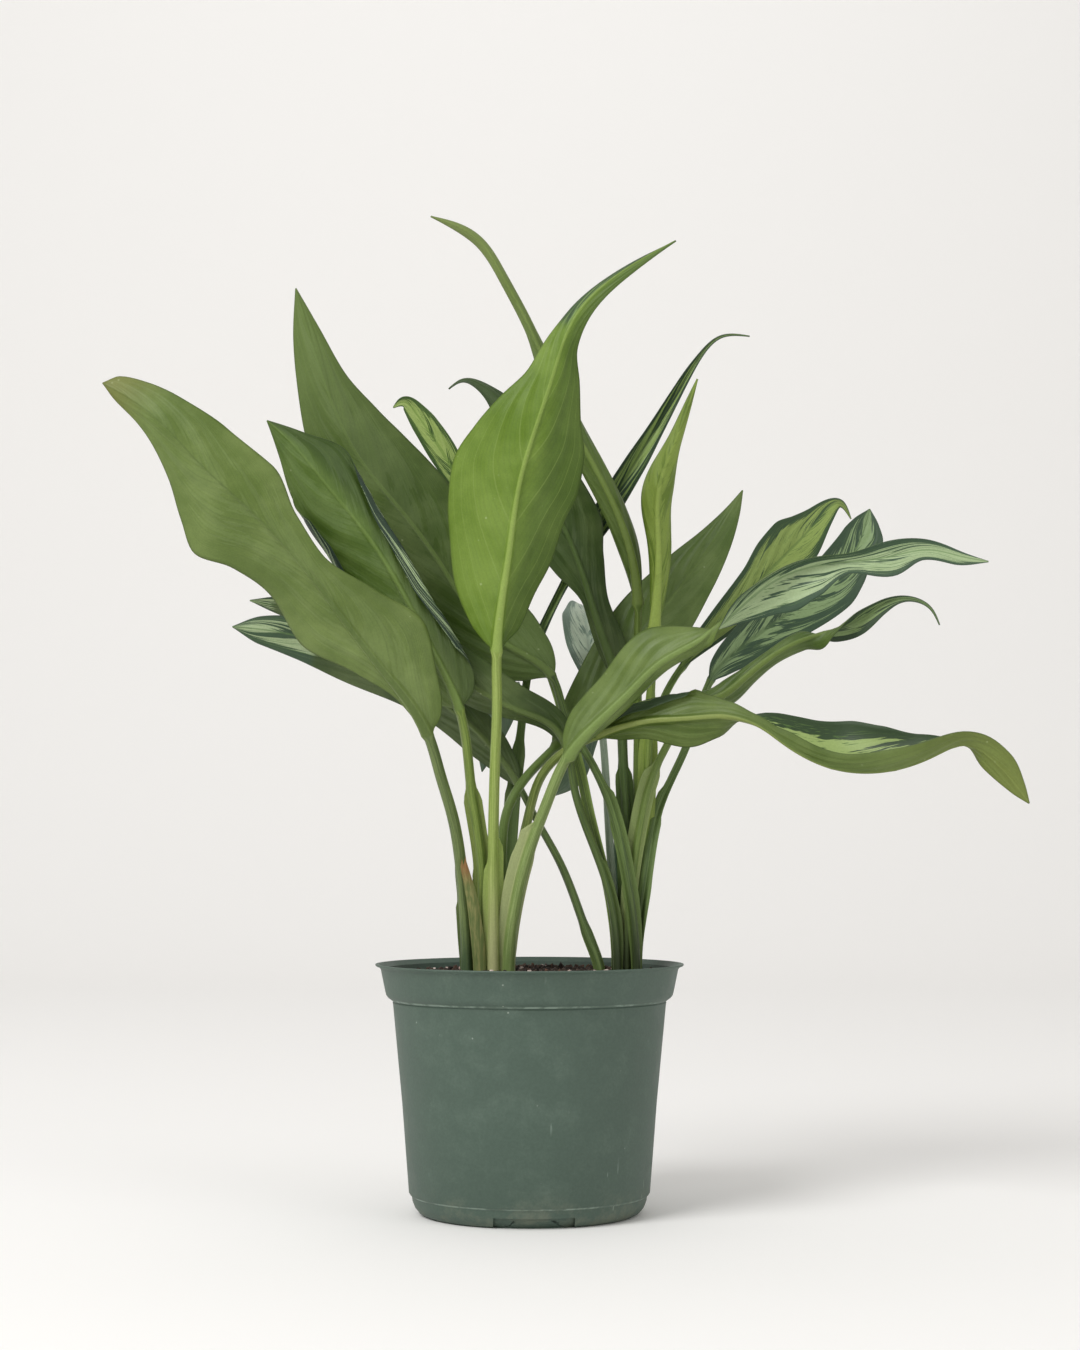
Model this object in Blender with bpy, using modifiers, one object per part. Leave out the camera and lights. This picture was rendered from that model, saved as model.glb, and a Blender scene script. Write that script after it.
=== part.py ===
"""Potted chinese evergreen: a moulded nursery pot, its soil and two clumps of leaves.

Lengths are in millimetres and become metres where an object is made. X runs to the
right of the front view, Y away from it and Z up. The origin is the middle of the
pot's base, on the surface that the pot stands on.
"""
import math
import random

import bmesh
import bpy
import numpy as np

MM = 0.001
GAP = 0.3

# Pot
POT_HEIGHT = 123.1
POT_SEGMENTS = 42
FLOOR_Z = 4.6
FLOOR_THICK = 1.8
PAD_RADIUS = 22.5
# Outer side from the lip down to the foot, as radius and height
POT_OUTSIDE = (
    (77.0, POT_HEIGHT), (76.7, 122.2), (75.0, 121.5),
    (74.3, 120.6), (72.0, 109.6),
    (71.5, 107.8), (70.6, 106.6), (69.5, 105.8), (68.9, 105.3),
    (68.0, 104.7), (68.3, 104.1), (68.1, 103.2),
    (63.4, 55.0), (59.9, 10.8),
    (59.3, 9.8), (58.5, 9.2),
    (58.1, 6.6), (56.9, 3.6), (55.0, 1.3), (52.6, 0.0),
)
# Inner side from the floor up to the rim
POT_INSIDE = (
    (56.0, FLOOR_Z + FLOOR_THICK), (58.3, 9.4), (58.7, 11.5),
    (66.4, 102.6), (66.8, 104.6), (68.9, 107.2), (70.2, 109.8),
    (72.6, 120.9), (75.3, POT_HEIGHT),
)
FOOT_INNER_RADIUS = 47.8
NOTCHES = 3
NOTCH_TURN = 2.6
NOTCH_WIDTH = 39.0
NOTCH_HEIGHT = 5.4
ARCH_HEIGHT = 4.4
ARCH_TOP_WIDTH = 17.0
ARCH_FOOT_WIDTH = 31.0
DRAIN_HOLES = 6
DRAIN_RADIUS = 4.0
DRAIN_CIRCLE = 35.0

# Soil
SOIL_EDGE_Z = 117.2
SOIL_MIDDLE_Z = 119.0
SOIL_WALL_GAP = 0.35
SOIL_CHIPS = 32
SOIL_SEED = 11
CHIP_SIZES = (1.7, 3.2)
CHIP_MARGIN = 3.5
# Short canes that the leaves of each clump stand on: middle x, y and the two radii
CANE_TOP_Z = 116.4
CANE_HEIGHT = 24.0
CANE_SEGMENTS = 32
CANES = {
    "cane_left": (-20.8, -3.0, 17.5, 15.0),
    "cane_right": (49.2, 3.2, 10.8, 17.0),
}
# Hole of the leaf that stands between the clumps: middle x, y and radius
LONE_HOLE = (35.0, -3.2, 3.8)

# Torn stub of an old sheath: middle x, y, height, half width and how far its middle bows to the front
STUB_ROWS = (
    (-24.6, -9.3, CANE_TOP_Z + GAP, 3.2, 1.4),
    (-24.8, -9.5, 124.0, 3.2, 1.4),
    (-26.0, -10.4, 138.0, 3.3, 1.3),
    (-27.8, -12.0, 152.0, 3.0, 1.1),
    (-30.4, -14.2, 164.0, 2.4, 0.8),
    (-32.6, -16.0, 173.0, 1.6, 0.4),
)
STUB_TEAR = (-1.5, 2.4, -0.8, 3.6, 0.6)
STUB_THICK = 0.9

# Leaves
BLADE_THICK = 0.8
STALK_ROWS = 7
BLADE_ROWS = 13
HALF_COLUMNS = 3
COLUMN_CROWDING = 1.25
# A half blade rises from the midrib by its lift angle times these, at the midrib and added to the margin
LIFT_AT_RIB = 0.4
LIFT_ADDED = 1.2
RIB_REACH = 3.0
FRONT = (0.0, -1.0, 0.0)
SIDE = (1.0, 0.0, 0.0)

# Screen colours of the pieces
POT_COLOUR = "566a5e"
SOIL_COLOUR = "3b2f28"
CANE_COLOUR = "6f6a3e"
SHEATH_COLOUR = "8a6f45"
LEAF_COLOURS = {
    "leaf_far_left": "6e8b4e", "leaf_tall_left": "46622f", "leaf_curled_left": "4c7a2c",
    "leaf_hidden_left": "5b7a4e", "leaf_low_left": "4d6a4a", "leaf_centre": "6f9a2e",
    "leaf_top_thin": "5d7f33", "leaf_hooked": "3f5c36", "leaf_small_mottled": "7fa052",
    "leaf_new_rolled": "8ab04a", "leaf_narrow_dark": "4a664f", "leaf_right_twisted": "5f8a3a",
    "leaf_back_right_light": "88a868", "leaf_back_right_dark": "56734f", "leaf_right_long_tip": "67845a",
    "leaf_low_right": "6a8550", "leaf_mid_green": "527338", "leaf_back_silver": "a0b59a",
    "leaf_back_drooping": "7d9478", "leaf_back_left": "8fa386",
}

# Each leaf: the hole it stands in; points up the middle of its stalk; then points along the
# midrib from the blade's base to its tip, each with the blade's roll about the midrib and the lift
# of its two halves, in degrees. At roll 0 the upper face looks to the front, at 180 the underside does.
# margins give the width of the two halves, as places along the midrib, 0 to 1, and millimetres.
LEAVES = {
    "leaf_far_left": dict(
        hole=(-31, -3), radii=(3.2, 2.6), sheath=(0.45, 0.6), root_roll=190,
        stalk=[(-34, -8, 171), (-38, -14, 196), (-44, -22, 217)],
        blade=[(-50, -30, 237, 190, 25, 20), (-75, -42, 272, 190, 20, 20), (-111, -54, 319, 190, 15, 15),
               (-137, -60, 346, 190, 10, 15), (-160, -62, 367, 190, 15, 20), (-180, -61, 388, 190, 20, 25),
               (-207, -56, 406, 190, 20, 20)],
        margins=([(0.04, 3.5), (0.1, 5), (0.19, 13), (0.31, 28), (0.43, 24), (0.53, 28), (0.62, 36),
                  (0.69, 28), (0.76, 18), (0.89, 9), (0.96, 5)],
                 [(0.02, 10), (0.09, 20), (0.19, 31), (0.31, 21), (0.43, 11), (0.52, 14), (0.62, 23),
                  (0.75, 22), (0.86, 16), (0.93, 11.5), (0.98, 7)])),
    "leaf_tall_left": dict(
        hole=(53.2, -4.8), radii=(2.2, 2.0), sheath=(0.3, 0.5), root_roll=180,
        stalk=[(48, -7, 171), (39, -4, 206), (28, 2, 229), (18, 6, 247)],
        blade=[(11, 9, 268, 180, 30, 30), (-12, 11, 284, 180, 20, 20), (-48, 11, 329, 180, 15, 20),
               (-71, 10, 359, 180, 15, 20), (-86, 9, 378, 180, 15, 20), (-104, 8, 416, 180, 15, 20),
               (-120, 8, 467, 180, 15, 15)],
        margins=([(0.02, 7), (0.05, 13), (0.11, 19), (0.35, 29), (0.51, 29), (0.61, 25), (0.78, 16), (0.9, 9)],
                 [(0.02, 8), (0.05, 15), (0.11, 23), (0.35, 31), (0.51, 30), (0.61, 27.5), (0.7, 21.5),
                  (0.8, 12), (0.9, 6.5)])),
    "leaf_curled_left": dict(
        hole=(-24.3, -1), radii=(2.9, 2.3), sheath=(0.7, 2.2), root_roll=180,
        stalk=[(-24, -5, 175), (-29, -11, 210)],
        blade=[(-35, -18, 250, 180, 25, 25), (-46, -22, 274, 180, 20, 20), (-64, -27, 309, 180, 20, 20),
               (-81, -30, 336, 180, 20, 20), (-102, -32, 362, 180, 20, 20), (-117, -32, 380, 180, 20, 20),
               (-130, -30, 392, 180, 20, 20)],
        margins=([(0.03, 10), (0.08, 15), (0.16, 20), (0.38, 24), (0.57, 24), (0.77, 19), (0.9, 10)],
                 [(0.03, 11), (0.08, 15), (0.16, 15), (0.38, 12), (0.57, 13), (0.7, 17), (0.8, 19),
                  (0.9, 9)])),
    "leaf_hidden_left": dict(
        hole=(43.8, -4.5), radii=(2.2, 1.9), sheath=(0.3, 0.5), root_roll=180,
        stalk=[(40, -3, 158), (32, -2, 182), (22, 0, 214)],
        blade=[(19, 1, 231, 200, 20, 20), (13, 0, 241, 200, 20, 20), (-6, -3, 250, 200, 20, 20),
               (-38, -4, 268, 200, 20, 20), (-70, 0, 286, 200, 20, 20), (-112, 8, 300, 200, 20, 20),
               (-143, 15, 307, 200, 20, 20)],
        margins=([(0.05, 5), (0.15, 6), (0.3, 12), (0.55, 15), (0.8, 9), (0.92, 5)],
                 [(0.05, 7), (0.15, 11), (0.3, 14), (0.55, 15), (0.8, 9), (0.92, 5)])),
    "leaf_low_left": dict(
        hole=(35, -2), foot=100.0, radii=(2.5, 1.7), sheath=(0.36, 0.7), root_roll=180,
        stalk=[(30, 0, 135), (15, 5, 174), (4, 9, 194)],
        blade=[(-6, 12, 213, 180, 20, 20), (-31, 18, 244, 180, 20, 20), (-62, 22, 266, 180, 20, 20),
               (-95, 26, 281, 180, 20, 20), (-129, 30, 292, 180, 20, 20), (-154, 32, 295, 180, 20, 20)],
        margins=([(0.05, 6), (0.2, 12), (0.4, 13), (0.6, 15), (0.8, 12), (0.92, 8)],
                 [(0.05, 6), (0.2, 11), (0.4, 13), (0.6, 13), (0.8, 11), (0.92, 7.5)])),
    "leaf_centre": dict(
        hole=(-18, -8), radii=(2.9, 2.4), sheath=(0.3, 0.6), root_roll=180,
        stalk=[(-18, -12, 175), (-17, -20, 224), (-16, -26, 254)],
        blade=[(-16, -32, 278, 180, 30, 30), (-10, -42, 324, 180, 20, 20), (-4, -50, 361, 180, 15, 15),
               (1, -53, 378, 180, 15, 15), (12, -58, 411, 185, 20, 20), (22, -61, 437, 195, 30, 30),
               (42, -63, 457, 215, 30, 30), (71, -64, 474, 230, 15, 15)],
        margins=([(0.015, 8), (0.05, 17), (0.13, 28), (0.21, 32), (0.29, 35), (0.37, 36), (0.45, 30),
                  (0.53, 22), (0.6, 14), (0.67, 11), (0.73, 8), (0.86, 5)],
                 [(0.015, 5), (0.05, 12), (0.13, 17), (0.21, 23), (0.29, 26), (0.37, 30), (0.45, 28),
                  (0.53, 20), (0.6, 14), (0.67, 8), (0.73, 7), (0.86, 4)])),
    "leaf_top_thin": dict(
        hole=(48.5, 10), radii=(2.2, 2.0), sheath=(0.4, 0.6), root_roll=180,
        stalk=[(53, 11, 175), (54.5, 12, 215), (55, 12, 256), (55, 11, 286)],
        blade=[(55, 10, 305, 180, 60, 60), (50, 9, 336, 180, 60, 60), (36, 8, 369, 180, 60, 60),
               (16, 8, 408, 180, 60, 60), (0, 9, 447, 180, 60, 60), (-14, 9, 474, 180, 60, 60),
               (-27, 9, 493, 180, 50, 50), (-51, 10, 505, 180, 30, 30)],
        margins=([(0.04, 6), (0.15, 12), (0.3, 13), (0.45, 12), (0.57, 9), (0.66, 5.5), (0.8, 5), (0.9, 4)],
                 [(0.04, 6), (0.15, 12), (0.3, 13), (0.45, 12), (0.57, 9), (0.66, 5.5), (0.8, 5), (0.9, 4)])),
    "leaf_hooked": dict(
        hole=(48.5, 4.5), radii=(2.2, 2.6), sheath=(0.6, 0.9), root_roll=180,
        stalk=[(49, 5.5, 175), (48, 8, 210), (47, 12, 240)],
        blade=[(46, 15, 261, 180, 30, 30), (38, 19, 286, 180, 25, 25), (25, 22, 327, 180, 20, 20),
               (11, 24, 360, 180, 20, 20), (-8, 25, 399, 180, 20, 20), (-23, 26, 419, 150, 20, 20),
               (-35, 26, 423, 130, 15, 15), (-42, 25, 418, 120, 10, 10)],
        margins=([(0.14, 5), (0.24, 4.5), (0.36, 14), (0.46, 19), (0.54, 19), (0.76, 10), (0.89, 4),
                  (0.96, 1.5)],
                 [(0.14, 12), (0.24, 10), (0.36, 15), (0.46, 22), (0.54, 21), (0.76, 12), (0.89, 4),
                  (0.96, 1.5)])),
    "leaf_small_mottled": dict(
        hole=(42.8, 0.2), radii=(2.2, 1.7), sheath=(0.55, 0.9), root_roll=40,
        stalk=[(39, 2, 162), (30, 4, 199), (24, 6, 226), (17.5, 10, 246), (10, 20, 270), (-12, 28, 320)],
        blade=[(-28, 30, 354, 0, 30, 30), (-42, 31, 380, 0, 30, 30), (-50, 31, 393, 0, 30, 30),
               (-59, 31, 406, 0, 25, 25), (-66, 30, 412, 0, 20, 20), (-71, 29, 409, 0, 10, 10)],
        margins=([(0.1, 3.5), (0.3, 7.5), (0.5, 8.6), (0.7, 7.8), (0.87, 4.5)],
                 [(0.1, 3.5), (0.3, 7.5), (0.5, 8.6), (0.7, 7.5), (0.87, 4.5)])),
    "leaf_new_rolled": dict(
        hole=(53.7, 5.8), radii=(2.2, 2.2), sheath=(0.7, 0.9), root_roll=180,
        stalk=[(57, 7, 175), (59, 6, 210), (61, 4, 255)],
        blade=[(63, 1, 290, 180, 60, 60), (65, -2, 335, 180, 60, 60), (65, -3, 360, 180, 60, 60),
               (74, -3, 387, 180, 60, 60), (85, -3, 418, 180, 50, 50)],
        margins=([(0.1, 6), (0.35, 11), (0.55, 17), (0.75, 9), (0.9, 4)],
                 [(0.1, 8), (0.35, 15), (0.55, 16), (0.75, 6.5), (0.9, 2.5)])),
    "leaf_narrow_dark": dict(
        hole=(-15, 5), radii=(2.6, 2.0), sheath=(0.75, 1.6), root_roll=40,
        stalk=[(-11, 11, 165), (-8, 18, 210), (-4, 25, 246)],
        blade=[(0, 31, 275, 0, 40, 40), (14, 37, 310, 0, 50, 50), (36, 42, 350, 0, 50, 50),
               (59, 43, 389, 0, 50, 50), (78, 42, 421, 0, 50, 50), (89, 40, 438, 0, 40, 40),
               (100, 38, 448, 0, 30, 30), (115, 36, 448, 0, 10, 10)],
        margins=([(0.06, 3), (0.2, 3.5), (0.3, 6.5), (0.42, 11), (0.55, 10.5), (0.65, 8), (0.78, 4.5),
                  (0.88, 1.5)],
                 [(0.06, 3), (0.2, 3.5), (0.3, 6), (0.42, 10), (0.55, 8.5), (0.65, 6), (0.78, 4),
                  (0.88, 1.5)])),
    "leaf_right_twisted": dict(
        hole=(-10.5, -8), radii=(3.4, 2.6), sheath=(0.55, 0.8), root_roll=180,
        stalk=[(-7, -11, 152), (0, -15, 180), (9, -21, 204)],
        blade=[(19, -28, 226, 180, 15, 60), (47, -36, 255, 180, 15, 60), (64, -41, 271, 180, 15, 60),
               (82, -45, 281, 195, 20, 50), (91, -48, 287, 270, 10, 20), (100, -51, 295, 340, 15, 40),
               (123, -55, 312, 350, 15, 60), (141, -59, 317, 355, 15, 60), (172, -65, 320, 365, 10, 30),
               (192, -68, 323, 365, 10, 20), (205, -70, 320, 365, 10, 10), (219, -72, 317, 360, 5, 5)],
        margins=([(0.03, 9), (0.08, 14), (0.17, 16), (0.27, 19), (0.33, 14), (0.38, 8), (0.43, 5), (0.5, 12),
                  (0.58, 18), (0.65, 15), (0.72, 6), (0.8, 10), (0.87, 5), (0.93, 5)],
                 [(0.03, 6), (0.08, 9), (0.17, 11), (0.27, 10), (0.33, 7.5), (0.38, 5.5), (0.43, 5), (0.5, 10),
                  (0.58, 10), (0.65, 9), (0.72, 6), (0.8, 8), (0.9, 4)])),
    "leaf_back_right_light": dict(
        hole=(53.2, 10.8), radii=(2.2, 1.8), sheath=(0.3, 0.5), root_roll=40,
        stalk=[(55, 17, 180), (59, 25, 221), (67, 36, 253)],
        blade=[(80, 48, 276, 20, 20, 20), (99, 60, 297, 10, 20, 20), (118, 72, 318, 5, 20, 20),
               (138, 86, 339, 0, 20, 20), (155, 98, 357, 0, 15, 15), (171, 108, 369.5, 0, 10, 10),
               (177, 114, 362, 0, 5, 5)],
        margins=([(0.08, 5), (0.22, 9), (0.42, 13), (0.64, 14), (0.82, 7), (0.93, 2)],
                 [(0.08, 5), (0.22, 8), (0.42, 11), (0.55, 16), (0.64, 17), (0.74, 12), (0.82, 7), (0.93, 2)])),
    "leaf_back_right_dark": dict(
        hole=(53.4, -2), radii=(2.2, 1.9), sheath=(0.3, 0.5), root_roll=40,
        stalk=[(58.5, -0.5, 165), (66, 8, 202), (78, 18, 228), (87, 27, 251)],
        blade=[(94, 33, 268, 0, 20, 20), (109, 39, 284, 0, 20, 20), (136, 49, 304, 0, 20, 20),
               (163, 58, 325, 0, 20, 20), (175, 62, 343, 0, 15, 15), (181, 66, 361, 0, 10, 10)],
        margins=([(0.05, 6), (0.17, 11), (0.44, 16), (0.62, 17), (0.72, 14), (0.8, 11), (0.87, 12),
                  (0.94, 7)],
                 [(0.05, 6), (0.17, 10), (0.44, 14), (0.7, 14), (0.87, 11), (0.94, 7)])),
    "leaf_right_long_tip": dict(
        hole=(48.5, -0.5), radii=(2.2, 1.9), sheath=(0.75, 1.0), root_roll=180,
        stalk=[(51.5, -0.5, 167), (56, 0, 195), (63, 1, 220), (72, 2, 238)],
        blade=[(81, 3, 252, 180, 50, 50), (94, 2, 256, 180, 50, 50), (107, 0, 265, 180, 50, 50),
               (137, -4, 285, 180, 50, 50), (153, -6, 290, 300, 30, 50), (168, -9, 297, 350, 30, 50),
               (181, -10, 304, 360, 20, 40), (192, -11, 305, 360, 10, 10), (200, -12, 301, 360, 5, 5),
               (205, -12, 292, 360, 5, 5)],
        margins=([(0.06, 9), (0.14, 10), (0.24, 7), (0.33, 6), (0.45, 8), (0.55, 7), (0.65, 8), (0.75, 5),
                  (0.85, 1.5)],
                 [(0.06, 8), (0.14, 10), (0.24, 8), (0.33, 7), (0.45, 8), (0.55, 8), (0.65, 8), (0.75, 4),
                  (0.85, 1.5)])),
    "leaf_low_right": dict(
        hole=(-11, -0.5), radii=(2.6, 2.2), sheath=(0.3, 0.5), root_roll=180,
        stalk=[(-8, 2, 165), (-1, 4, 195), (6, 2, 217), (21, -8, 231)],
        blade=[(35, -17, 237, 180, 20, 20), (58, -27, 243, 180, 20, 20), (75, -32, 244, 180, 20, 20),
               (91, -36, 245, 180, 25, 25), (101, -38.5, 244.5, 145, 35, 50), (112, -41.5, 240.5, 108, 55, 70),
               (125, -45, 231, 98, 55, 70), (149, -51, 219, 96, 55, 70), (172, -56, 218, 95, 55, 70),
               (194, -60, 225, 95, 45, 55), (209, -62, 230, 110, 25, 25), (221, -64, 223, 150, 15, 15),
               (238, -66, 202, 170, 5, 5)],
        margins=([(0.05, 8), (0.1, 11), (0.2, 14), (0.25, 12), (0.29, 7.5), (0.34, 4), (0.38, 4), (0.43, 7),
                  (0.55, 9.5), (0.65, 12), (0.75, 10.5), (0.82, 8.5), (0.9, 8), (0.96, 4)],
                 [(0.05, 7), (0.1, 9), (0.2, 15), (0.27, 11), (0.33, 9), (0.38, 16), (0.43, 22), (0.55, 30),
                  (0.65, 26), (0.75, 16), (0.82, 9), (0.9, 7), (0.96, 4)])),
    "leaf_mid_green": dict(
        hole=(-17.5, -1.2), radii=(2.6, 2.3), sheath=(0.3, 0.5), root_roll=180,
        stalk=[(-14, -2, 170), (-11, -1, 200), (-2, 4, 216)],
        blade=[(13, 15, 232, 180, 30, 30), (36, 23, 262, 180, 20, 20), (62, 30, 296, 180, 15, 15),
               (83, 34, 323, 180, 15, 15), (97, 36, 343, 180, 15, 15), (111, 38, 367, 180, 10, 10)],
        margins=([(0.03, 6), (0.08, 10), (0.22, 15), (0.48, 20), (0.69, 15), (0.83, 8), (0.93, 3)],
                 [(0.03, 6), (0.08, 10), (0.22, 16), (0.48, 20), (0.69, 15), (0.83, 10), (0.93, 5)])),
    "leaf_back_silver": dict(
        hole=(43.8, 5.6), radii=(2.2, 1.8), sheath=(0.3, 0.5), root_roll=90, facing=SIDE,
        stalk=[(41, 11, 175), (39, 21, 215), (37, 33, 244)],
        blade=[(35, 42, 260, 90, 20, 20), (32, 62, 283, 90, 20, 20), (30, 83, 301, 90, 20, 20),
               (30, 106, 312, 90, 20, 20), (32, 128, 314, 90, 10, 10)],
        margins=([(0.08, 6), (0.25, 12), (0.5, 14), (0.75, 10), (0.9, 5)],
                 [(0.08, 6), (0.25, 12), (0.5, 14), (0.75, 10), (0.9, 5)])),
    "leaf_back_drooping": dict(
        hole=(48.4, 13.2), radii=(2.2, 1.8), sheath=(0.3, 0.5), root_roll=90, facing=SIDE,
        stalk=[(45, 22, 175), (47, 36, 216), (46, 55, 250)],
        blade=[(41, 70, 259, 90, 20, 20), (36, 95, 252, 90, 20, 20), (29, 115, 234, 90, 20, 20),
               (21, 130, 216, 90, 10, 10), (11, 138, 209, 90, 10, 10)],
        margins=([(0.08, 4), (0.25, 6), (0.5, 7), (0.75, 7), (0.9, 4)],
                 [(0.08, 4), (0.25, 6), (0.5, 7), (0.75, 7), (0.9, 4)])),
    "leaf_back_left": dict(
        hole=(-22, 6), radii=(2.6, 1.8), sheath=(0.3, 0.5), root_roll=90, facing=SIDE,
        stalk=[(-19, 14, 170), (-18, 30, 216), (-17, 50, 250)],
        blade=[(-16, 62, 261, 90, 20, 20), (-16, 85, 266, 90, 20, 20), (-19, 108, 253, 90, 20, 20),
               (-24, 125, 235, 90, 10, 10), (-27, 132, 223, 90, 10, 10)],
        margins=([(0.08, 6), (0.25, 11), (0.5, 13), (0.75, 8), (0.9, 4)],
                 [(0.08, 6), (0.25, 11), (0.5, 13), (0.75, 8), (0.9, 4)])),
}


def through(knots, values, at):
    """A smooth curve through every value: a natural cubic spline, read at the places given."""
    knots = np.asarray(knots, float)
    values = np.asarray(values, float)
    count = len(knots)
    step = np.diff(knots)[:, None]
    slope = np.diff(values, axis=0) / step
    matrix = np.eye(count)
    bend = np.zeros_like(values)
    for i in range(1, count - 1):
        matrix[i, i - 1] = step[i - 1, 0]
        matrix[i, i] = 2 * (step[i - 1, 0] + step[i, 0])
        matrix[i, i + 1] = step[i, 0]
        bend[i] = 6 * (slope[i] - slope[i - 1])
    bend = np.linalg.solve(matrix, bend)
    i = np.clip(np.searchsorted(knots, at) - 1, 0, count - 2)
    past = (at - knots[i])[:, None]
    left = (knots[i + 1] - at)[:, None]
    step = step[i]
    curved = (bend[i] * left**3 + bend[i + 1] * past**3) / (6 * step)
    return (curved + (values[i] / step - bend[i] * step / 6) * left
            + (values[i + 1] / step - bend[i + 1] * step / 6) * past)


def eased(knots, values, at):
    """A smooth curve through every value that never passes beyond its neighbours."""
    knots = np.asarray(knots, float)
    values = np.asarray(values, float)
    step = np.diff(knots)
    slope = np.diff(values) / step
    tangent = np.concatenate([slope[:1], np.zeros(len(step) - 1), slope[-1:]])
    for i in range(1, len(step)):
        if slope[i - 1] * slope[i] > 0:
            tangent[i] = 2 * slope[i - 1] * slope[i] / (slope[i - 1] + slope[i])
    i = np.clip(np.searchsorted(knots, at) - 1, 0, len(step) - 1)
    t = (at - knots[i]) / step[i]
    return (values[i] * (1 + 2 * t) * (1 - t)**2 + step[i] * tangent[i] * t * (1 - t)**2
            + values[i + 1] * t * t * (3 - 2 * t) + step[i] * tangent[i + 1] * t * t * (t - 1))


def unit(vectors):
    return vectors / np.linalg.norm(vectors, axis=-1, keepdims=True)


def leaf_surface(leaf, stalk_rows, blade_rows, half_columns, thick):
    """The upper and lower faces of one leaf, as two grids of points that match row by row."""
    x, y = leaf["hole"]
    foot = leaf.get("foot", CANE_TOP_Z) + GAP
    stalk = np.array([(x, y, foot), (x, y, SOIL_MIDDLE_Z + 1)] + leaf["stalk"], float)
    blade = np.array(leaf["blade"], float)
    route = np.vstack([stalk, blade[:, :3]])
    knots = np.concatenate([[0], np.cumsum(np.linalg.norm(np.diff(route, axis=0), axis=1))])
    base = knots[len(stalk)]
    length = knots[-1] - base
    even = np.linspace(0, 1, blade_rows)
    crowded = 0.5 * even + 0.25 * (1 - np.cos(np.pi * even))
    at = np.concatenate([np.linspace(0, base, stalk_rows + 1)[:-1], base + length * crowded])
    centre = through(knots, route, at)
    place = (at - base) / length
    on_blade = place > -1e-9

    turned = np.concatenate([[0], knots[len(stalk):]])
    roll = np.radians(eased(turned, np.concatenate([[leaf["root_roll"]], blade[:, 3]]), at))
    lifts = [np.radians(eased(turned, np.concatenate([[0], blade[:, 4 + i]]), at)) for i in (0, 1)]
    along = unit(np.gradient(centre, axis=0))
    along[0] = (0, 0, 1)
    side = unit(np.cross(along, np.array(leaf.get("facing", FRONT))))
    face = np.cross(side, along)
    across = np.cos(roll)[:, None] * side + np.sin(roll)[:, None] * face
    normal = np.cos(roll)[:, None] * face - np.sin(roll)[:, None] * side

    foot_radius, top_radius = leaf["radii"]
    up_stalk = np.clip(at / base, 0, 1)
    core = foot_radius + (top_radius - foot_radius) * up_stalk
    sheath_end, sheath_width = leaf["sheath"]
    wing = sheath_width * np.clip(up_stalk / sheath_end, 0, 1)**0.5 * (up_stalk < sheath_end)
    half = core + wing * (up_stalk > 0.12)
    halves = []
    for margin in leaf["margins"]:
        places, widths = zip(*margin)
        blade_half = eased((0, *places, 1), (0.9 * top_radius, *widths, 0.5), np.clip(place, 0, 1))
        halves.append(np.where(on_blade, blade_half, half))
    columns = np.linspace(0, 1, half_columns + 1)**COLUMN_CROWDING
    fine = np.linspace(0, 1, 25)

    upper = []
    lower = []
    for i in range(len(at)):
        over = []
        under = []
        for sign, lift, reach in ((-1, lifts[1][i], halves[1][i]), (1, lifts[0][i], halves[0][i])):
            lift = lift * on_blade[i]
            slope = lift * (LIFT_AT_RIB + LIFT_ADDED * fine)
            run = np.concatenate([[0], np.cumsum(np.cos(slope[1:]) + np.cos(slope[:-1])) / 48])
            rise = np.concatenate([[0], np.cumsum(np.sin(slope[1:]) + np.sin(slope[:-1])) / 48])
            tilt = lift * (LIFT_AT_RIB + LIFT_ADDED * columns)
            out = sign * reach * np.interp(columns, fine, run)
            high = reach * np.interp(columns, fine, rise)
            from_rib = columns * reach
            if on_blade[i]:
                rib = 1.5 * top_radius * np.clip(1 - place[i], 0, 1)**1.3
                deep = thick + rib * np.exp(-(from_rib / RIB_REACH)**2)
            else:
                deep = thick + 1.5 * core[i] * np.sqrt(np.clip(1 - (from_rib / core[i])**2, 0, 1))
            up_x = out - sign * np.sin(tilt) * thick / 2
            up_n = high + np.cos(tilt) * thick / 2
            low_x = out + sign * np.sin(tilt) * (deep - thick / 2)
            low_n = high - np.cos(tilt) * (deep - thick / 2)
            rows = ((over, up_x, up_n), (under, low_x, low_n))
            for row, x_part, n_part in rows:
                points = centre[i] + x_part[:, None] * across[i] + n_part[:, None] * normal[i]
                row.extend(points[:0:-1] if sign < 0 else points)
        upper.append(over)
        lower.append(under)
    return np.array(upper), np.array(lower)


def closed_sheet(upper, lower):
    """Points and triangles of a closed solid between two matching grids, split alike on both faces."""
    rows, columns = upper.shape[:2]
    points = np.concatenate([upper.reshape(-1, 3), lower.reshape(-1, 3)])
    faces = []

    def quad(a, b, c, d):
        faces.extend([(a, b, c), (a, c, d)])

    def top(i, j):
        return i * columns + j

    def bottom(i, j):
        return rows * columns + i * columns + j

    for i in range(rows - 1):
        for j in range(columns - 1):
            quad(top(i, j), top(i, j + 1), top(i + 1, j + 1), top(i + 1, j))
            a, b, c, d = bottom(i, j), bottom(i, j + 1), bottom(i + 1, j + 1), bottom(i + 1, j)
            faces.extend([(a, c, b), (a, d, c)])
        last = columns - 1
        quad(top(i, 0), top(i + 1, 0), bottom(i + 1, 0), bottom(i, 0))
        quad(bottom(i, last), bottom(i + 1, last), top(i + 1, last), top(i, last))
    last = rows - 1
    for j in range(columns - 1):
        quad(bottom(0, j), bottom(0, j + 1), top(0, j + 1), top(0, j))
        quad(top(last, j), top(last, j + 1), bottom(last, j + 1), bottom(last, j))
    return points, faces


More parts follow.
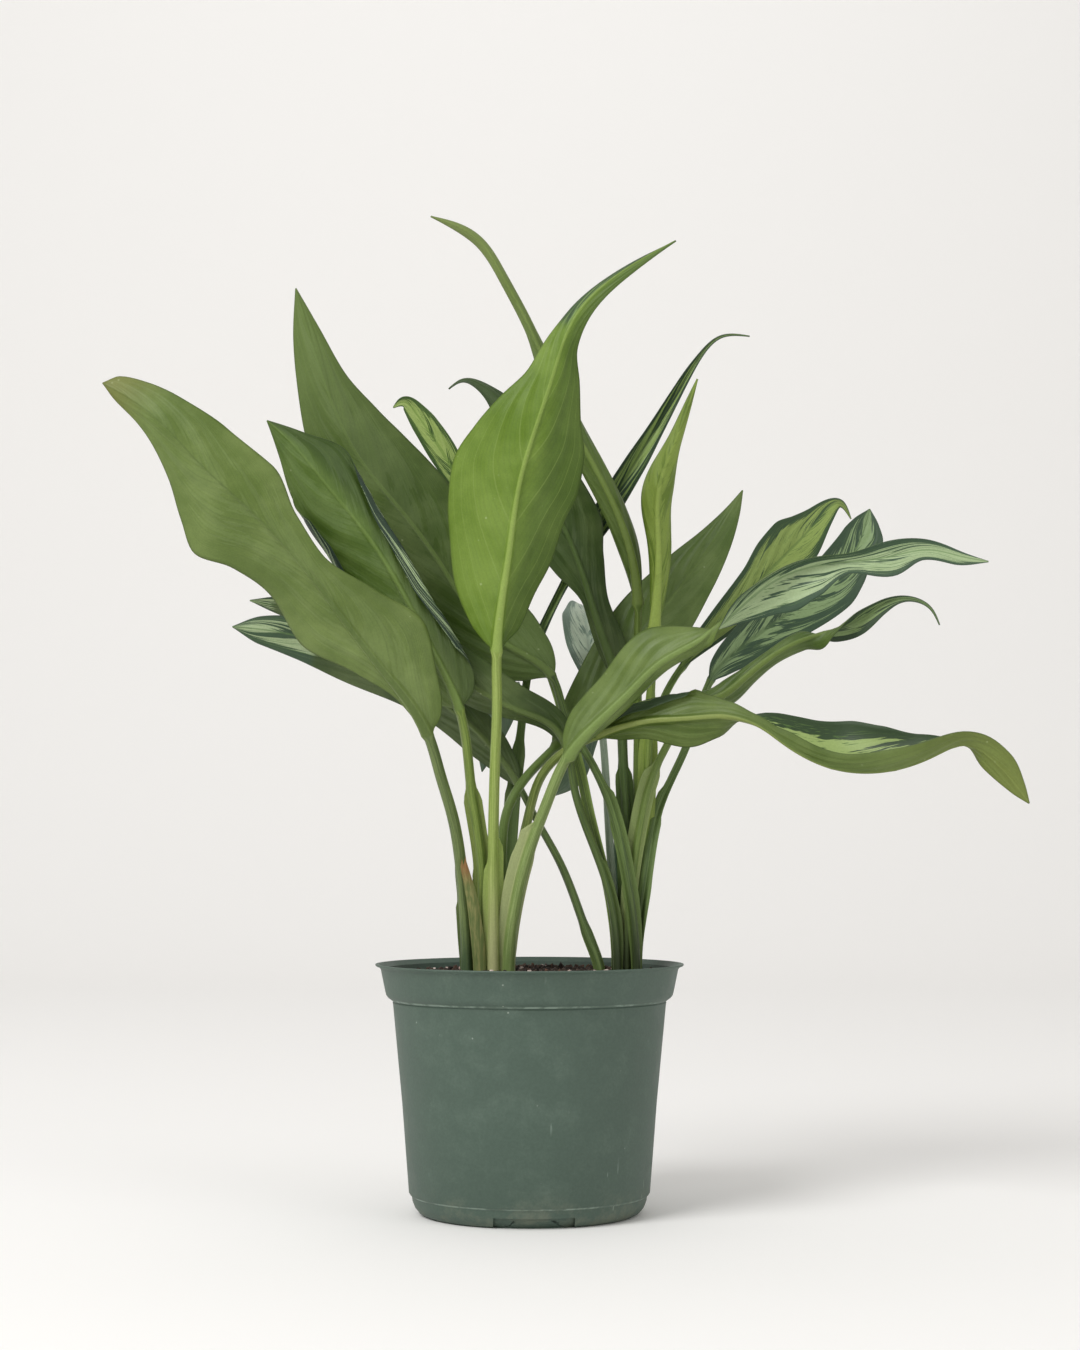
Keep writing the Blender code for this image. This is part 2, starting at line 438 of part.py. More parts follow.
def stub_surface():
    """The front and back faces of the torn sheath stub, as two matching grids."""
    front = []
    back = []
    columns = np.linspace(-1, 1, len(STUB_TEAR))
    for i, (x, y, z, half, bow) in enumerate(STUB_ROWS):
        tear = np.array(STUB_TEAR) * (i == len(STUB_ROWS) - 1)
        bowed = y - bow * (1 - columns**2)
        front.append(np.stack([x + half * columns, bowed - STUB_THICK / 2, z + tear], axis=1))
        back.append(np.stack([x + half * columns, bowed + STUB_THICK / 2, z + tear], axis=1))
    return np.array(front), np.array(back)


def new_object(name, points, faces, collection, edges=()):
    """An object from points in millimetres."""
    mesh = bpy.data.meshes.new(name)
    mesh.from_pydata([tuple(float(c) * MM for c in point) for point in points], edges, faces)
    thing = bpy.data.objects.new(name, mesh)
    collection.objects.link(thing)
    return thing


def turned(name, profile, closed, collection):
    """A body turned about Z from a profile of radius and height, given down its outer side."""
    count = len(profile)
    edges = [(i, i + 1) for i in range(count - 1)]
    if closed:
        edges.append((count - 1, 0))
    thing = new_object(name, [(radius, 0, z) for radius, z in profile], [], collection, edges)
    screw = thing.modifiers.new("turn", "SCREW")
    screw.axis = "Z"
    screw.angle = 2 * math.pi
    screw.steps = POT_SEGMENTS
    screw.render_steps = POT_SEGMENTS
    screw.use_merge_vertices = True
    screw.merge_threshold = 0.00001
    return thing


def boolean(thing, operation, cutter):
    modifier = thing.modifiers.new(cutter.name, "BOOLEAN")
    modifier.operation = operation
    modifier.solver = "EXACT"
    modifier.object = cutter


def apply_modifiers(thing):
    graph = bpy.context.evaluated_depsgraph_get()
    graph.update()
    mesh = bpy.data.meshes.new_from_object(thing.evaluated_get(graph))
    thing.modifiers.clear()
    thing.data = mesh


def drums(name, places, low, high, segments, collection):
    """Upright drums in one mesh; each place is middle x, y and the two radii."""
    built = bmesh.new()
    for x, y, radius_x, radius_y in places:
        drum = bmesh.ops.create_cone(built, cap_ends=True, segments=segments,
                                     radius1=1, radius2=1, depth=high - low)
        bmesh.ops.scale(built, vec=(radius_x, radius_y, 1), verts=drum["verts"])
        bmesh.ops.translate(built, vec=(x, y, (low + high) / 2), verts=drum["verts"])
    bmesh.ops.scale(built, vec=(MM, MM, MM), verts=built.verts)
    mesh = bpy.data.meshes.new(name)
    built.to_mesh(mesh)
    built.free()
    thing = bpy.data.objects.new(name, mesh)
    collection.objects.link(thing)
    return thing


def notch_prisms(name, outline, inner, outer, collection):
    """Prisms that run outwards through the foot, one for each notch, from an outline of x and height."""
    points = []
    faces = []
    sides = len(outline)
    for n in range(NOTCHES):
        turn = 2 * math.pi * n / NOTCHES + math.radians(NOTCH_TURN)
        first = len(points)
        for radius in (inner, outer):
            for x, z in outline:
                y = -radius
                points.append((x * math.cos(turn) - y * math.sin(turn), x * math.sin(turn) + y * math.cos(turn), z))
        faces.append(tuple(first + i for i in reversed(range(sides))))
        faces.append(tuple(first + sides + i for i in range(sides)))
        for i in range(sides):
            j = (i + 1) % sides
            faces.append((first + i, first + j, first + sides + j, first + sides + i))
    return new_object(name, points, faces, collection)


def make_pot(collection, cutters):
    floor_top = FLOOR_Z + FLOOR_THICK
    foot = [(FOOT_INNER_RADIUS, 0), (FOOT_INNER_RADIUS - 0.6, FLOOR_Z), (PAD_RADIUS + 1, FLOOR_Z),
            (PAD_RADIUS, 0), (0, 0)]
    pot = turned("pot", [(0, floor_top), *POT_INSIDE, *POT_OUTSIDE, *foot], False, collection)
    # The recess follows the rounded foot, set back by a constant depth
    ring = turned("notch_ring", [(66, NOTCH_HEIGHT), (66, -2), (51.0, -2), (51.3, 0.4), (53.7, 2.2),
                                 (55.3, 4.2), (55.7, NOTCH_HEIGHT)], True, cutters)
    half = NOTCH_WIDTH / 2
    blocks = notch_prisms("notch_blocks", [(-half, -4), (half, -4), (half, 8), (-half, 8)], 40, 70, cutters)
    boolean(ring, "INTERSECT", blocks)
    boolean(pot, "DIFFERENCE", ring)
    top = ARCH_TOP_WIDTH / 2
    low = ARCH_FOOT_WIDTH / 2
    arches = notch_prisms("notch_arches", [(-low - 1.5, -1), (low + 1.5, -1), (low - 1.5, 0.6), (top + 1.5, 2.6),
                                           (top, ARCH_HEIGHT), (-top, ARCH_HEIGHT), (-top - 1.5, 2.6),
                                           (1.5 - low, 0.6)], 42, 64, cutters)
    boolean(pot, "DIFFERENCE", arches)
    places = []
    for n in range(DRAIN_HOLES):
        turn = 2 * math.pi * (n + 0.5) / DRAIN_HOLES
        places.append((DRAIN_CIRCLE * math.cos(turn), DRAIN_CIRCLE * math.sin(turn), DRAIN_RADIUS, DRAIN_RADIUS))
    drains = drums("drain_drums", places, FLOOR_Z - 2, floor_top + 2, 20, cutters)
    boolean(pot, "DIFFERENCE", drains)
    return pot


def soil_level(radius):
    return SOIL_MIDDLE_Z + (SOIL_EDGE_Z - SOIL_MIDDLE_Z) * (radius / 73)**2


def near_stalks(x, y, margin):
    wells = list(CANES.values()) + [LONE_HOLE + LONE_HOLE[2:]]
    return any(((x - well_x) / (radius_x + margin))**2 + ((y - well_y) / (radius_y + margin))**2 < 1
               for well_x, well_y, radius_x, radius_y in wells)


def make_soil(collection, cutters):
    wall = [(radius - SOIL_WALL_GAP, z) for radius, z in POT_INSIDE if z < SOIL_EDGE_Z]
    wall[0] = (wall[0][0], wall[0][1] + GAP)
    inner = POT_INSIDE[-3]
    outer = POT_INSIDE[-2]
    share = (SOIL_EDGE_Z - inner[1]) / (outer[1] - inner[1])
    edge = inner[0] + (outer[0] - inner[0]) * share - SOIL_WALL_GAP
    top = [(radius, soil_level(radius)) for radius in (0, 18, 36, 54)]
    soil = turned("soil", [*top, (edge, SOIL_EDGE_Z), *reversed(wall), (0, wall[0][1])], False, collection)

    # Bits of bark and perlite, half sunk in the soil
    loose = bpy.data.collections.new("soil_chips")
    bpy.context.scene.collection.children.link(loose)
    rng = random.Random(SOIL_SEED)
    placed = []
    while len(placed) < SOIL_CHIPS:
        radius = 66 * math.sqrt(rng.random())
        turn = rng.uniform(0, 2 * math.pi)
        x = radius * math.cos(turn)
        y = radius * math.sin(turn)
        size = rng.uniform(*CHIP_SIZES)
        if near_stalks(x, y, size + CHIP_MARGIN):
            continue
        if any(math.hypot(x - a, y - b) < size + c + 1 for a, b, c in placed):
            continue
        placed.append((x, y, size))
        built = bmesh.new()
        bmesh.ops.create_icosphere(built, subdivisions=1, radius=size * MM)
        mesh = bpy.data.meshes.new("chip")
        built.to_mesh(mesh)
        built.free()
        chip = bpy.data.objects.new("chip", mesh)
        chip.location = (x * MM, y * MM, (soil_level(radius) + 0.15 * size) * MM)
        chip.rotation_euler = [rng.uniform(0, math.pi) for _ in range(3)]
        chip.scale = (1, rng.uniform(0.6, 0.9), rng.uniform(0.7, 1.0))
        loose.objects.link(chip)
    union = soil.modifiers.new("chips", "BOOLEAN")
    union.operation = "UNION"
    union.solver = "EXACT"
    union.operand_type = "COLLECTION"
    union.collection = loose
    apply_modifiers(soil)
    for chip in list(loose.objects):
        bpy.data.objects.remove(chip, do_unlink=True)
    bpy.data.collections.remove(loose)

    wells = [(x, y, radius_x + GAP, radius_y + GAP) for x, y, radius_x, radius_y in CANES.values()]
    well = drums("cane_wells", wells, CANE_TOP_Z - CANE_HEIGHT - GAP, 130, CANE_SEGMENTS, cutters)
    boolean(soil, "DIFFERENCE", well)
    lone = drums("lone_hole", [LONE_HOLE + LONE_HOLE[2:]], LEAVES["leaf_low_left"]["foot"], 130, 20, cutters)
    boolean(soil, "DIFFERENCE", lone)
    return soil


def make_cane(name, collection):
    cane = drums(name, [CANES[name]], CANE_TOP_Z - CANE_HEIGHT, CANE_TOP_Z, CANE_SEGMENTS, collection)
    bevel = cane.modifiers.new("rounded ends", "BEVEL")
    bevel.width = 1.2 * MM
    bevel.segments = 2
    bevel.limit_method = "ANGLE"
    return cane


def material(name, colour, roughness):
    """A plain material; the colour is three hexadecimal pairs of screen colour."""
    made = bpy.data.materials.new(name)
    made.use_nodes = True
    shader = made.node_tree.nodes["Principled BSDF"]
    levels = [int(colour[i:i + 2], 16) / 255 for i in (0, 2, 4)]
    linear = [c / 12.92 if c <= 0.04045 else ((c + 0.055) / 1.055)**2.4 for c in levels]
    shader.inputs["Base Color"].default_value = (*linear, 1)
    shader.inputs["Roughness"].default_value = roughness
    shader.inputs["Metallic"].default_value = 0
    return made


def finish(thing, colour, roughness, smooth_below):
    """Give the piece its own material and smooth shading, with edges sharper than the angle kept."""
    thing.data.materials.clear()
    thing.data.materials.append(material(thing.name, colour, roughness))
    thing.data.shade_smooth()
    if smooth_below:
        thing.data.set_sharp_from_angle(angle=math.radians(smooth_below))


def main():
    for thing in list(bpy.data.objects):
        bpy.data.objects.remove(thing, do_unlink=True)
    scene = bpy.context.scene
    plant = bpy.data.collections.new("potted_chinese_evergreen")
    cutters = bpy.data.collections.new("cutters")
    scene.collection.children.link(plant)
    scene.collection.children.link(cutters)

    finish(make_pot(plant, cutters), POT_COLOUR, 0.55, 30)
    finish(make_soil(plant, cutters), SOIL_COLOUR, 0.95, 30)
    for name in CANES:
        finish(make_cane(name, plant), CANE_COLOUR, 0.8, 30)
    stub = new_object("old_sheath", *closed_sheet(*stub_surface()), plant)
    finish(stub, SHEATH_COLOUR, 0.7, 50)
    for name, leaf in LEAVES.items():
        surface = leaf_surface(leaf, STALK_ROWS, BLADE_ROWS, HALF_COLUMNS, BLADE_THICK)
        blade = new_object(name, *closed_sheet(*surface), plant)
        finish(blade, LEAF_COLOURS[name], 0.4, 50)
    for cutter in cutters.objects:
        cutter.hide_render = True
        cutter.display_type = "WIRE"


if __name__ == "__main__":
    main()
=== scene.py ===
"""Looks of a potted chinese evergreen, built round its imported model.

Lengths are in millimetres and become metres where a mesh is made. X runs to the right of
the front view, Y away from it and Z up. The origin is the middle of the pot's base.
"""
import math
import random

import bmesh
import bpy
import numpy as np
from bpy.props import FloatProperty, FloatVectorProperty, IntProperty, PointerProperty
from mathutils import Euler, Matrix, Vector, noise


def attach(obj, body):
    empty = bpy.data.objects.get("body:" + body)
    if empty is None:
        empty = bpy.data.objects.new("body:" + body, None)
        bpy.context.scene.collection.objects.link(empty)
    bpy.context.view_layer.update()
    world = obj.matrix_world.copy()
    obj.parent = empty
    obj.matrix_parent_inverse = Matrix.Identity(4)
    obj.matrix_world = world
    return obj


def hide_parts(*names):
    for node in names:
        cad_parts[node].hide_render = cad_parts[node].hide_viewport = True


bl_info = {
    "name": "Potted Chinese Evergreen",
    "version": (1, 0, 0),
    "blender": (4, 5, 0),
    "location": "3D View > Sidebar > Evergreen",
    "description": "Builds a chinese evergreen in its nursery pot round the packed model",
    "category": "Object",
}

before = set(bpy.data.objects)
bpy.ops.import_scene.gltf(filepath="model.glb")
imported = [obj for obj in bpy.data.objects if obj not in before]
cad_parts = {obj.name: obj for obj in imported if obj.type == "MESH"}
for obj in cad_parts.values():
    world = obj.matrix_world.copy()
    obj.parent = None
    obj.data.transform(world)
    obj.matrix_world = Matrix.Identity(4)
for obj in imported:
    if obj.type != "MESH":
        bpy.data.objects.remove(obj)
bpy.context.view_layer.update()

MM = 0.001
GAP = 0.3

# Pot: outer side from the lip down to the foot, and inner side from the floor up, as radius and height
POT_HEIGHT = 123.1
POT_OUTSIDE = (
    (76.9, POT_HEIGHT), (77.05, 122.7), (76.7, 122.2), (75.0, 121.5),
    (74.3, 120.6), (72.0, 109.6),
    (71.5, 107.8), (70.6, 106.6), (69.5, 105.8), (68.9, 105.3),
    (68.0, 104.7), (68.3, 104.1), (68.1, 103.2),
    (63.4, 55.0), (59.9, 10.8),
    (59.3, 9.8), (58.5, 9.2),
    (58.1, 6.6), (56.9, 3.6), (55.0, 1.3), (52.6, 0.0),
)
FLOOR_Z = 4.6
FLOOR_TOP = 6.4
PAD_RADIUS = 22.5
POT_INSIDE = (
    (56.0, FLOOR_TOP), (58.3, 9.4), (58.7, 11.5),
    (66.4, 102.6), (66.8, 104.6), (68.9, 107.2), (70.2, 109.8),
    (72.6, 120.9), (75.3, POT_HEIGHT),
)
FOOT_INNER_RADIUS = 47.8
POT_SEGMENTS = 180
NOTCHES = 3
NOTCH_TURN = 2.6
NOTCH_WIDTH = 39.0
NOTCH_HEIGHT = 5.4
DRAIN_HOLES = 6
DRAIN_RADIUS = 4.0
DRAIN_CIRCLE = 35.0

# Soil and the canes under the clumps: middle x, y and two radii
SOIL_EDGE_Z = 117.2
SOIL_MIDDLE_Z = 119.0
SOIL_RADIUS = 72.3
CANE_TOP_Z = 116.4
CANES = {
    "cane_left": (-20.8, -3.0, 17.5, 15.0),
    "cane_right": (49.2, 3.2, 10.8, 17.0),
}

# Leaves
STALK_ROWS = 40
BLADE_ROWS = 120
HALF_COLUMNS = 17
RIB_COLUMNS = 5
RIB_STEP = 0.7
FOLD_ARC = 2.2
LIFT_AT_RIB = 0.4
LIFT_ADDED = 1.2
VEIN_COUNT = 7.5
VEIN_ARCH = 0.24
FRONT = (0.0, -1.0, 0.0)
SIDE = (1.0, 0.0, 0.0)

# Torn stub of an old sheath: middle x, y, height, half width and how far its middle bows to the front
STUB_ROWS = (
    (-24.6, -9.3, CANE_TOP_Z + GAP, 3.2, 1.4),
    (-24.8, -9.5, 124.0, 3.2, 1.4),
    (-26.0, -10.4, 138.0, 3.3, 1.3),
    (-27.8, -12.0, 152.0, 3.0, 1.1),
    (-30.4, -14.2, 164.0, 2.4, 0.8),
    (-32.6, -16.0, 173.0, 1.6, 0.4),
)
STUB_TEAR = (-1.5, 2.4, -0.8, 3.6, 0.6)

# Camera at the photograph's place, in metres and degrees
CAMERA_PLACE = (0.005217, -1.25, 0.18226)
CAMERA_PITCH = 3.9135
CAMERA_LENS = 66.27
CAMERA_SENSOR = 36.0
# Soft lamps: place, aim, size and power
LAMPS = (
    ("key_softbox", (-1.5, -1.7, 2.1), (0, 0, 0.25), 1.5, 54.0),
    ("fill_softbox", (1.9, -1.6, 1.0), (0, 0, 0.25), 1.5, 8.0),
    ("sweep_softbox", (0.0, 1.5, 2.6), (0, 2.9, 0.9), 2.5, 8.0),
)
# Paper sweep: half width, front edge, where it starts to rise, radius of the rise and height
SWEEP_HALF = 5.0
SWEEP_FRONT = -4.0
SWEEP_RISE = 2.0
SWEEP_RADIUS = 0.9
SWEEP_TOP = 2.4
ROOM_LIGHT = 0.62

# Each leaf: the hole it stands in; points up the middle of its stalk; then points along the
# midrib from the blade's base to its tip, each with the blade's roll about the midrib and the lift
# of its two halves, in degrees. At roll 0 the upper face looks to the front, at 180 the underside does.
# margins give the width of the two halves, as places along the midrib, 0 to 1, and millimetres.
LEAVES = {
    "leaf_far_left": dict(
        hole=(-31, -3), radii=(3.2, 2.6), sheath=(0.45, 0.6), root_roll=190,
        stalk=[(-34, -8, 171), (-38, -14, 196), (-44, -22, 217)],
        blade=[(-50, -30, 237, 190, 25, 20), (-75, -42, 272, 190, 20, 20), (-111, -54, 319, 190, 15, 15),
               (-137, -60, 346, 190, 10, 15), (-160, -62, 367, 190, 15, 20), (-180, -61, 388, 190, 20, 25),
               (-207, -56, 406, 190, 20, 20)],
        margins=([(0.04, 3.5), (0.1, 5), (0.19, 13), (0.31, 28), (0.43, 24), (0.53, 28), (0.62, 36),
                  (0.69, 28), (0.76, 18), (0.89, 9), (0.96, 5)],
                 [(0.02, 10), (0.09, 20), (0.19, 31), (0.31, 21), (0.43, 11), (0.52, 14), (0.62, 23),
                  (0.75, 22), (0.86, 16), (0.93, 11.5), (0.98, 7)])),
    "leaf_tall_left": dict(
        hole=(53.2, -4.8), radii=(2.2, 2.0), sheath=(0.3, 0.5), root_roll=180,
        stalk=[(48, -7, 171), (39, -4, 206), (28, 2, 229), (18, 6, 247)],
        blade=[(11, 9, 268, 180, 30, 30), (-12, 11, 284, 180, 20, 20), (-48, 11, 329, 180, 15, 20),
               (-71, 10, 359, 180, 15, 20), (-86, 9, 378, 180, 15, 20), (-104, 8, 416, 180, 15, 20),
               (-120, 8, 467, 180, 15, 15)],
        margins=([(0.02, 7), (0.05, 13), (0.11, 19), (0.35, 29), (0.51, 29), (0.61, 25), (0.78, 16), (0.9, 9)],
                 [(0.02, 8), (0.05, 15), (0.11, 23), (0.35, 31), (0.51, 30), (0.61, 27.5), (0.7, 21.5),
                  (0.8, 12), (0.9, 6.5)])),
    "leaf_curled_left": dict(
        hole=(-24.3, -1), radii=(2.9, 2.3), sheath=(0.7, 2.2), root_roll=180,
        stalk=[(-24, -5, 175), (-29, -11, 210)],
        blade=[(-35, -18, 250, 180, 25, 25), (-46, -22, 274, 180, 20, 20), (-64, -27, 309, 180, 20, 20),
               (-81, -30, 336, 180, 20, 20), (-102, -32, 362, 180, 20, 20), (-117, -32, 380, 180, 20, 20),
               (-130, -30, 392, 180, 20, 20)],
        margins=([(0.03, 10), (0.08, 15), (0.16, 20), (0.38, 24), (0.57, 24), (0.77, 19), (0.9, 10)],
                 [(0.03, 11), (0.08, 15), (0.16, 15), (0.38, 12), (0.57, 13), (0.7, 17), (0.8, 19),
                  (0.9, 9)])),
    "leaf_hidden_left": dict(
        hole=(43.8, -4.5), radii=(2.2, 1.9), sheath=(0.3, 0.5), root_roll=180,
        stalk=[(40, -3, 158), (32, -2, 182), (22, 0, 214)],
        blade=[(19, 1, 231, 200, 20, 20), (13, 0, 241, 200, 20, 20), (-6, -3, 250, 200, 20, 20),
               (-38, -4, 268, 200, 20, 20), (-70, 0, 286, 200, 20, 20), (-112, 8, 300, 200, 20, 20),
               (-143, 15, 307, 200, 20, 20)],
        margins=([(0.05, 5), (0.15, 6), (0.3, 12), (0.55, 15), (0.8, 9), (0.92, 5)],
                 [(0.05, 7), (0.15, 11), (0.3, 14), (0.55, 15), (0.8, 9), (0.92, 5)])),
    "leaf_low_left": dict(
        hole=(35, -2), foot=100.0, radii=(2.5, 1.7), sheath=(0.36, 0.7), root_roll=180,
        stalk=[(30, 0, 135), (15, 5, 174), (4, 9, 194)],
        blade=[(-6, 12, 213, 180, 20, 20), (-31, 18, 244, 180, 20, 20), (-62, 22, 266, 180, 20, 20),
               (-95, 26, 281, 180, 20, 20), (-129, 30, 292, 180, 20, 20), (-154, 32, 295, 180, 20, 20)],
        margins=([(0.05, 6), (0.2, 12), (0.4, 13), (0.6, 15), (0.8, 12), (0.92, 8)],
                 [(0.05, 6), (0.2, 11), (0.4, 13), (0.6, 13), (0.8, 11), (0.92, 7.5)])),
    "leaf_centre": dict(
        hole=(-18, -8), radii=(2.9, 2.4), sheath=(0.3, 0.6), root_roll=180,
        stalk=[(-18, -12, 175), (-17, -20, 224), (-16, -26, 254)],
        blade=[(-16, -32, 278, 180, 30, 30), (-10, -42, 324, 180, 20, 20), (-4, -50, 361, 180, 15, 15),
               (1, -53, 378, 180, 15, 15), (12, -58, 411, 185, 20, 20), (22, -61, 437, 195, 30, 30),
               (42, -63, 457, 215, 30, 30), (71, -64, 474, 230, 15, 15)],
        margins=([(0.015, 8), (0.05, 17), (0.13, 28), (0.21, 32), (0.29, 35), (0.37, 36), (0.45, 30),
                  (0.53, 22), (0.6, 14), (0.67, 11), (0.73, 8), (0.86, 5)],
                 [(0.015, 5), (0.05, 12), (0.13, 17), (0.21, 23), (0.29, 26), (0.37, 30), (0.45, 28),
                  (0.53, 20), (0.6, 14), (0.67, 8), (0.73, 7), (0.86, 4)])),
    "leaf_top_thin": dict(
        hole=(48.5, 10), radii=(2.2, 2.0), sheath=(0.4, 0.6), root_roll=180,
        stalk=[(53, 11, 175), (54.5, 12, 215), (55, 12, 256), (55, 11, 286)],
        blade=[(55, 10, 305, 180, 60, 60), (50, 9, 336, 180, 60, 60), (36, 8, 369, 180, 60, 60),
               (16, 8, 408, 180, 60, 60), (0, 9, 447, 180, 60, 60), (-14, 9, 474, 180, 60, 60),
               (-27, 9, 493, 180, 50, 50), (-51, 10, 505, 180, 30, 30)],
        margins=([(0.04, 6), (0.15, 12), (0.3, 13), (0.45, 12), (0.57, 9), (0.66, 5.5), (0.8, 5), (0.9, 4)],
                 [(0.04, 6), (0.15, 12), (0.3, 13), (0.45, 12), (0.57, 9), (0.66, 5.5), (0.8, 5), (0.9, 4)])),
    "leaf_hooked": dict(
        hole=(48.5, 4.5), radii=(2.2, 2.6), sheath=(0.6, 0.9), root_roll=180,
        stalk=[(49, 5.5, 175), (48, 8, 210), (47, 12, 240)],
        blade=[(46, 15, 261, 180, 30, 30), (38, 19, 286, 180, 25, 25), (25, 22, 327, 180, 20, 20),
               (11, 24, 360, 180, 20, 20), (-8, 25, 399, 180, 20, 20), (-23, 26, 419, 150, 20, 20),
               (-35, 26, 423, 130, 15, 15), (-42, 25, 418, 120, 10, 10)],
        margins=([(0.14, 5), (0.24, 4.5), (0.36, 14), (0.46, 19), (0.54, 19), (0.76, 10), (0.89, 4),
                  (0.96, 1.5)],
                 [(0.14, 12), (0.24, 10), (0.36, 15), (0.46, 22), (0.54, 21), (0.76, 12), (0.89, 4),
                  (0.96, 1.5)])),
    "leaf_small_mottled": dict(
        hole=(42.8, 0.2), radii=(2.2, 1.7), sheath=(0.55, 0.9), root_roll=40,
        stalk=[(39, 2, 162), (30, 4, 199), (24, 6, 226), (17.5, 10, 246), (10, 20, 270), (-12, 28, 320)],
        blade=[(-28, 30, 354, 0, 30, 30), (-42, 31, 380, 0, 30, 30), (-50, 31, 393, 0, 30, 30),
               (-59, 31, 406, 0, 25, 25), (-66, 30, 412, 0, 20, 20), (-71, 29, 409, 0, 10, 10)],
        margins=([(0.1, 3.5), (0.3, 7.5), (0.5, 8.6), (0.7, 7.8), (0.87, 4.5)],
                 [(0.1, 3.5), (0.3, 7.5), (0.5, 8.6), (0.7, 7.5), (0.87, 4.5)])),
    "leaf_new_rolled": dict(
        hole=(53.7, 5.8), radii=(2.2, 2.2), sheath=(0.7, 0.9), root_roll=180,
        stalk=[(57, 7, 175), (59, 6, 210), (61, 4, 255)],
        blade=[(63, 1, 290, 180, 60, 60), (65, -2, 335, 180, 60, 60), (65, -3, 360, 180, 60, 60),
               (74, -3, 387, 180, 60, 60), (85, -3, 418, 180, 50, 50)],
        margins=([(0.1, 6), (0.35, 11), (0.55, 17), (0.75, 9), (0.9, 4)],
                 [(0.1, 8), (0.35, 15), (0.55, 16), (0.75, 6.5), (0.9, 2.5)])),
    "leaf_narrow_dark": dict(
        hole=(-15, 5), radii=(2.6, 2.0), sheath=(0.75, 1.6), root_roll=40,
        stalk=[(-11, 11, 165), (-8, 18, 210), (-4, 25, 246)],
        blade=[(0, 31, 275, 0, 40, 40), (14, 37, 310, 0, 50, 50), (36, 42, 350, 0, 50, 50),
               (59, 43, 389, 0, 50, 50), (78, 42, 421, 0, 50, 50), (89, 40, 438, 0, 40, 40),
               (100, 38, 448, 0, 30, 30), (115, 36, 448, 0, 10, 10)],
        margins=([(0.06, 3), (0.2, 3.5), (0.3, 6.5), (0.42, 11), (0.55, 10.5), (0.65, 8), (0.78, 4.5),
                  (0.88, 1.5)],
                 [(0.06, 3), (0.2, 3.5), (0.3, 6), (0.42, 10), (0.55, 8.5), (0.65, 6), (0.78, 4),
                  (0.88, 1.5)])),
    "leaf_right_twisted": dict(
        hole=(-10.5, -8), radii=(3.4, 2.6), sheath=(0.55, 0.8), root_roll=180,
        stalk=[(-7, -11, 152), (0, -15, 180), (9, -21, 204)],
        blade=[(19, -28, 226, 180, 15, 60), (47, -36, 255, 180, 15, 60), (64, -41, 271, 180, 15, 60),
               (82, -45, 281, 195, 20, 50), (91, -48, 287, 270, 10, 20), (100, -51, 295, 340, 15, 40),
               (123, -55, 312, 350, 15, 60), (141, -59, 317, 355, 15, 60), (172, -65, 320, 365, 10, 30),
               (192, -68, 323, 365, 10, 20), (205, -70, 320, 365, 10, 10), (219, -72, 317, 360, 5, 5)],
        margins=([(0.03, 9), (0.08, 14), (0.17, 16), (0.27, 19), (0.33, 14), (0.38, 8), (0.43, 5), (0.5, 12),
                  (0.58, 18), (0.65, 15), (0.72, 6), (0.8, 10), (0.87, 5), (0.93, 5)],
                 [(0.03, 6), (0.08, 9), (0.17, 11), (0.27, 10), (0.33, 7.5), (0.38, 5.5), (0.43, 5), (0.5, 10),
                  (0.58, 10), (0.65, 9), (0.72, 6), (0.8, 8), (0.9, 4)])),
    "leaf_back_right_light": dict(
        hole=(53.2, 10.8), radii=(2.2, 1.8), sheath=(0.3, 0.5), root_roll=40,
        stalk=[(55, 17, 180), (59, 25, 221), (67, 36, 253)],
        blade=[(80, 48, 276, 20, 20, 20), (99, 60, 297, 10, 20, 20), (118, 72, 318, 5, 20, 20),
               (138, 86, 339, 0, 20, 20), (155, 98, 357, 0, 15, 15), (171, 108, 369.5, 0, 10, 10),
               (177, 114, 362, 0, 5, 5)],
        margins=([(0.08, 5), (0.22, 9), (0.42, 13), (0.64, 14), (0.82, 7), (0.93, 2)],
                 [(0.08, 5), (0.22, 8), (0.42, 11), (0.55, 16), (0.64, 17), (0.74, 12), (0.82, 7), (0.93, 2)])),
    "leaf_back_right_dark": dict(
        hole=(53.4, -2), radii=(2.2, 1.9), sheath=(0.3, 0.5), root_roll=40,
        stalk=[(58.5, -0.5, 165), (66, 8, 202), (78, 18, 228), (87, 27, 251)],
        blade=[(94, 33, 268, 0, 20, 20), (109, 39, 284, 0, 20, 20), (136, 49, 304, 0, 20, 20),
               (163, 58, 325, 0, 20, 20), (175, 62, 343, 0, 15, 15), (181, 66, 361, 0, 10, 10)],
        margins=([(0.05, 6), (0.17, 11), (0.44, 16), (0.62, 17), (0.72, 14), (0.8, 11), (0.87, 12),
                  (0.94, 7)],
                 [(0.05, 6), (0.17, 10), (0.44, 14), (0.7, 14), (0.87, 11), (0.94, 7)])),
    "leaf_right_long_tip": dict(
        hole=(48.5, -0.5), radii=(2.2, 1.9), sheath=(0.75, 1.0), root_roll=180,
        stalk=[(51.5, -0.5, 167), (56, 0, 195), (63, 1, 220), (72, 2, 238)],
        blade=[(81, 3, 252, 180, 50, 50), (94, 2, 256, 180, 50, 50), (107, 0, 265, 180, 50, 50),
               (137, -4, 285, 180, 50, 50), (153, -6, 290, 300, 30, 50), (168, -9, 297, 350, 30, 50),
               (181, -10, 304, 360, 20, 40), (192, -11, 305, 360, 10, 10), (200, -12, 301, 360, 5, 5),
               (205, -12, 292, 360, 5, 5)],
        margins=([(0.06, 9), (0.14, 10), (0.24, 7), (0.33, 6), (0.45, 8), (0.55, 7), (0.65, 8), (0.75, 5),
                  (0.85, 1.5)],
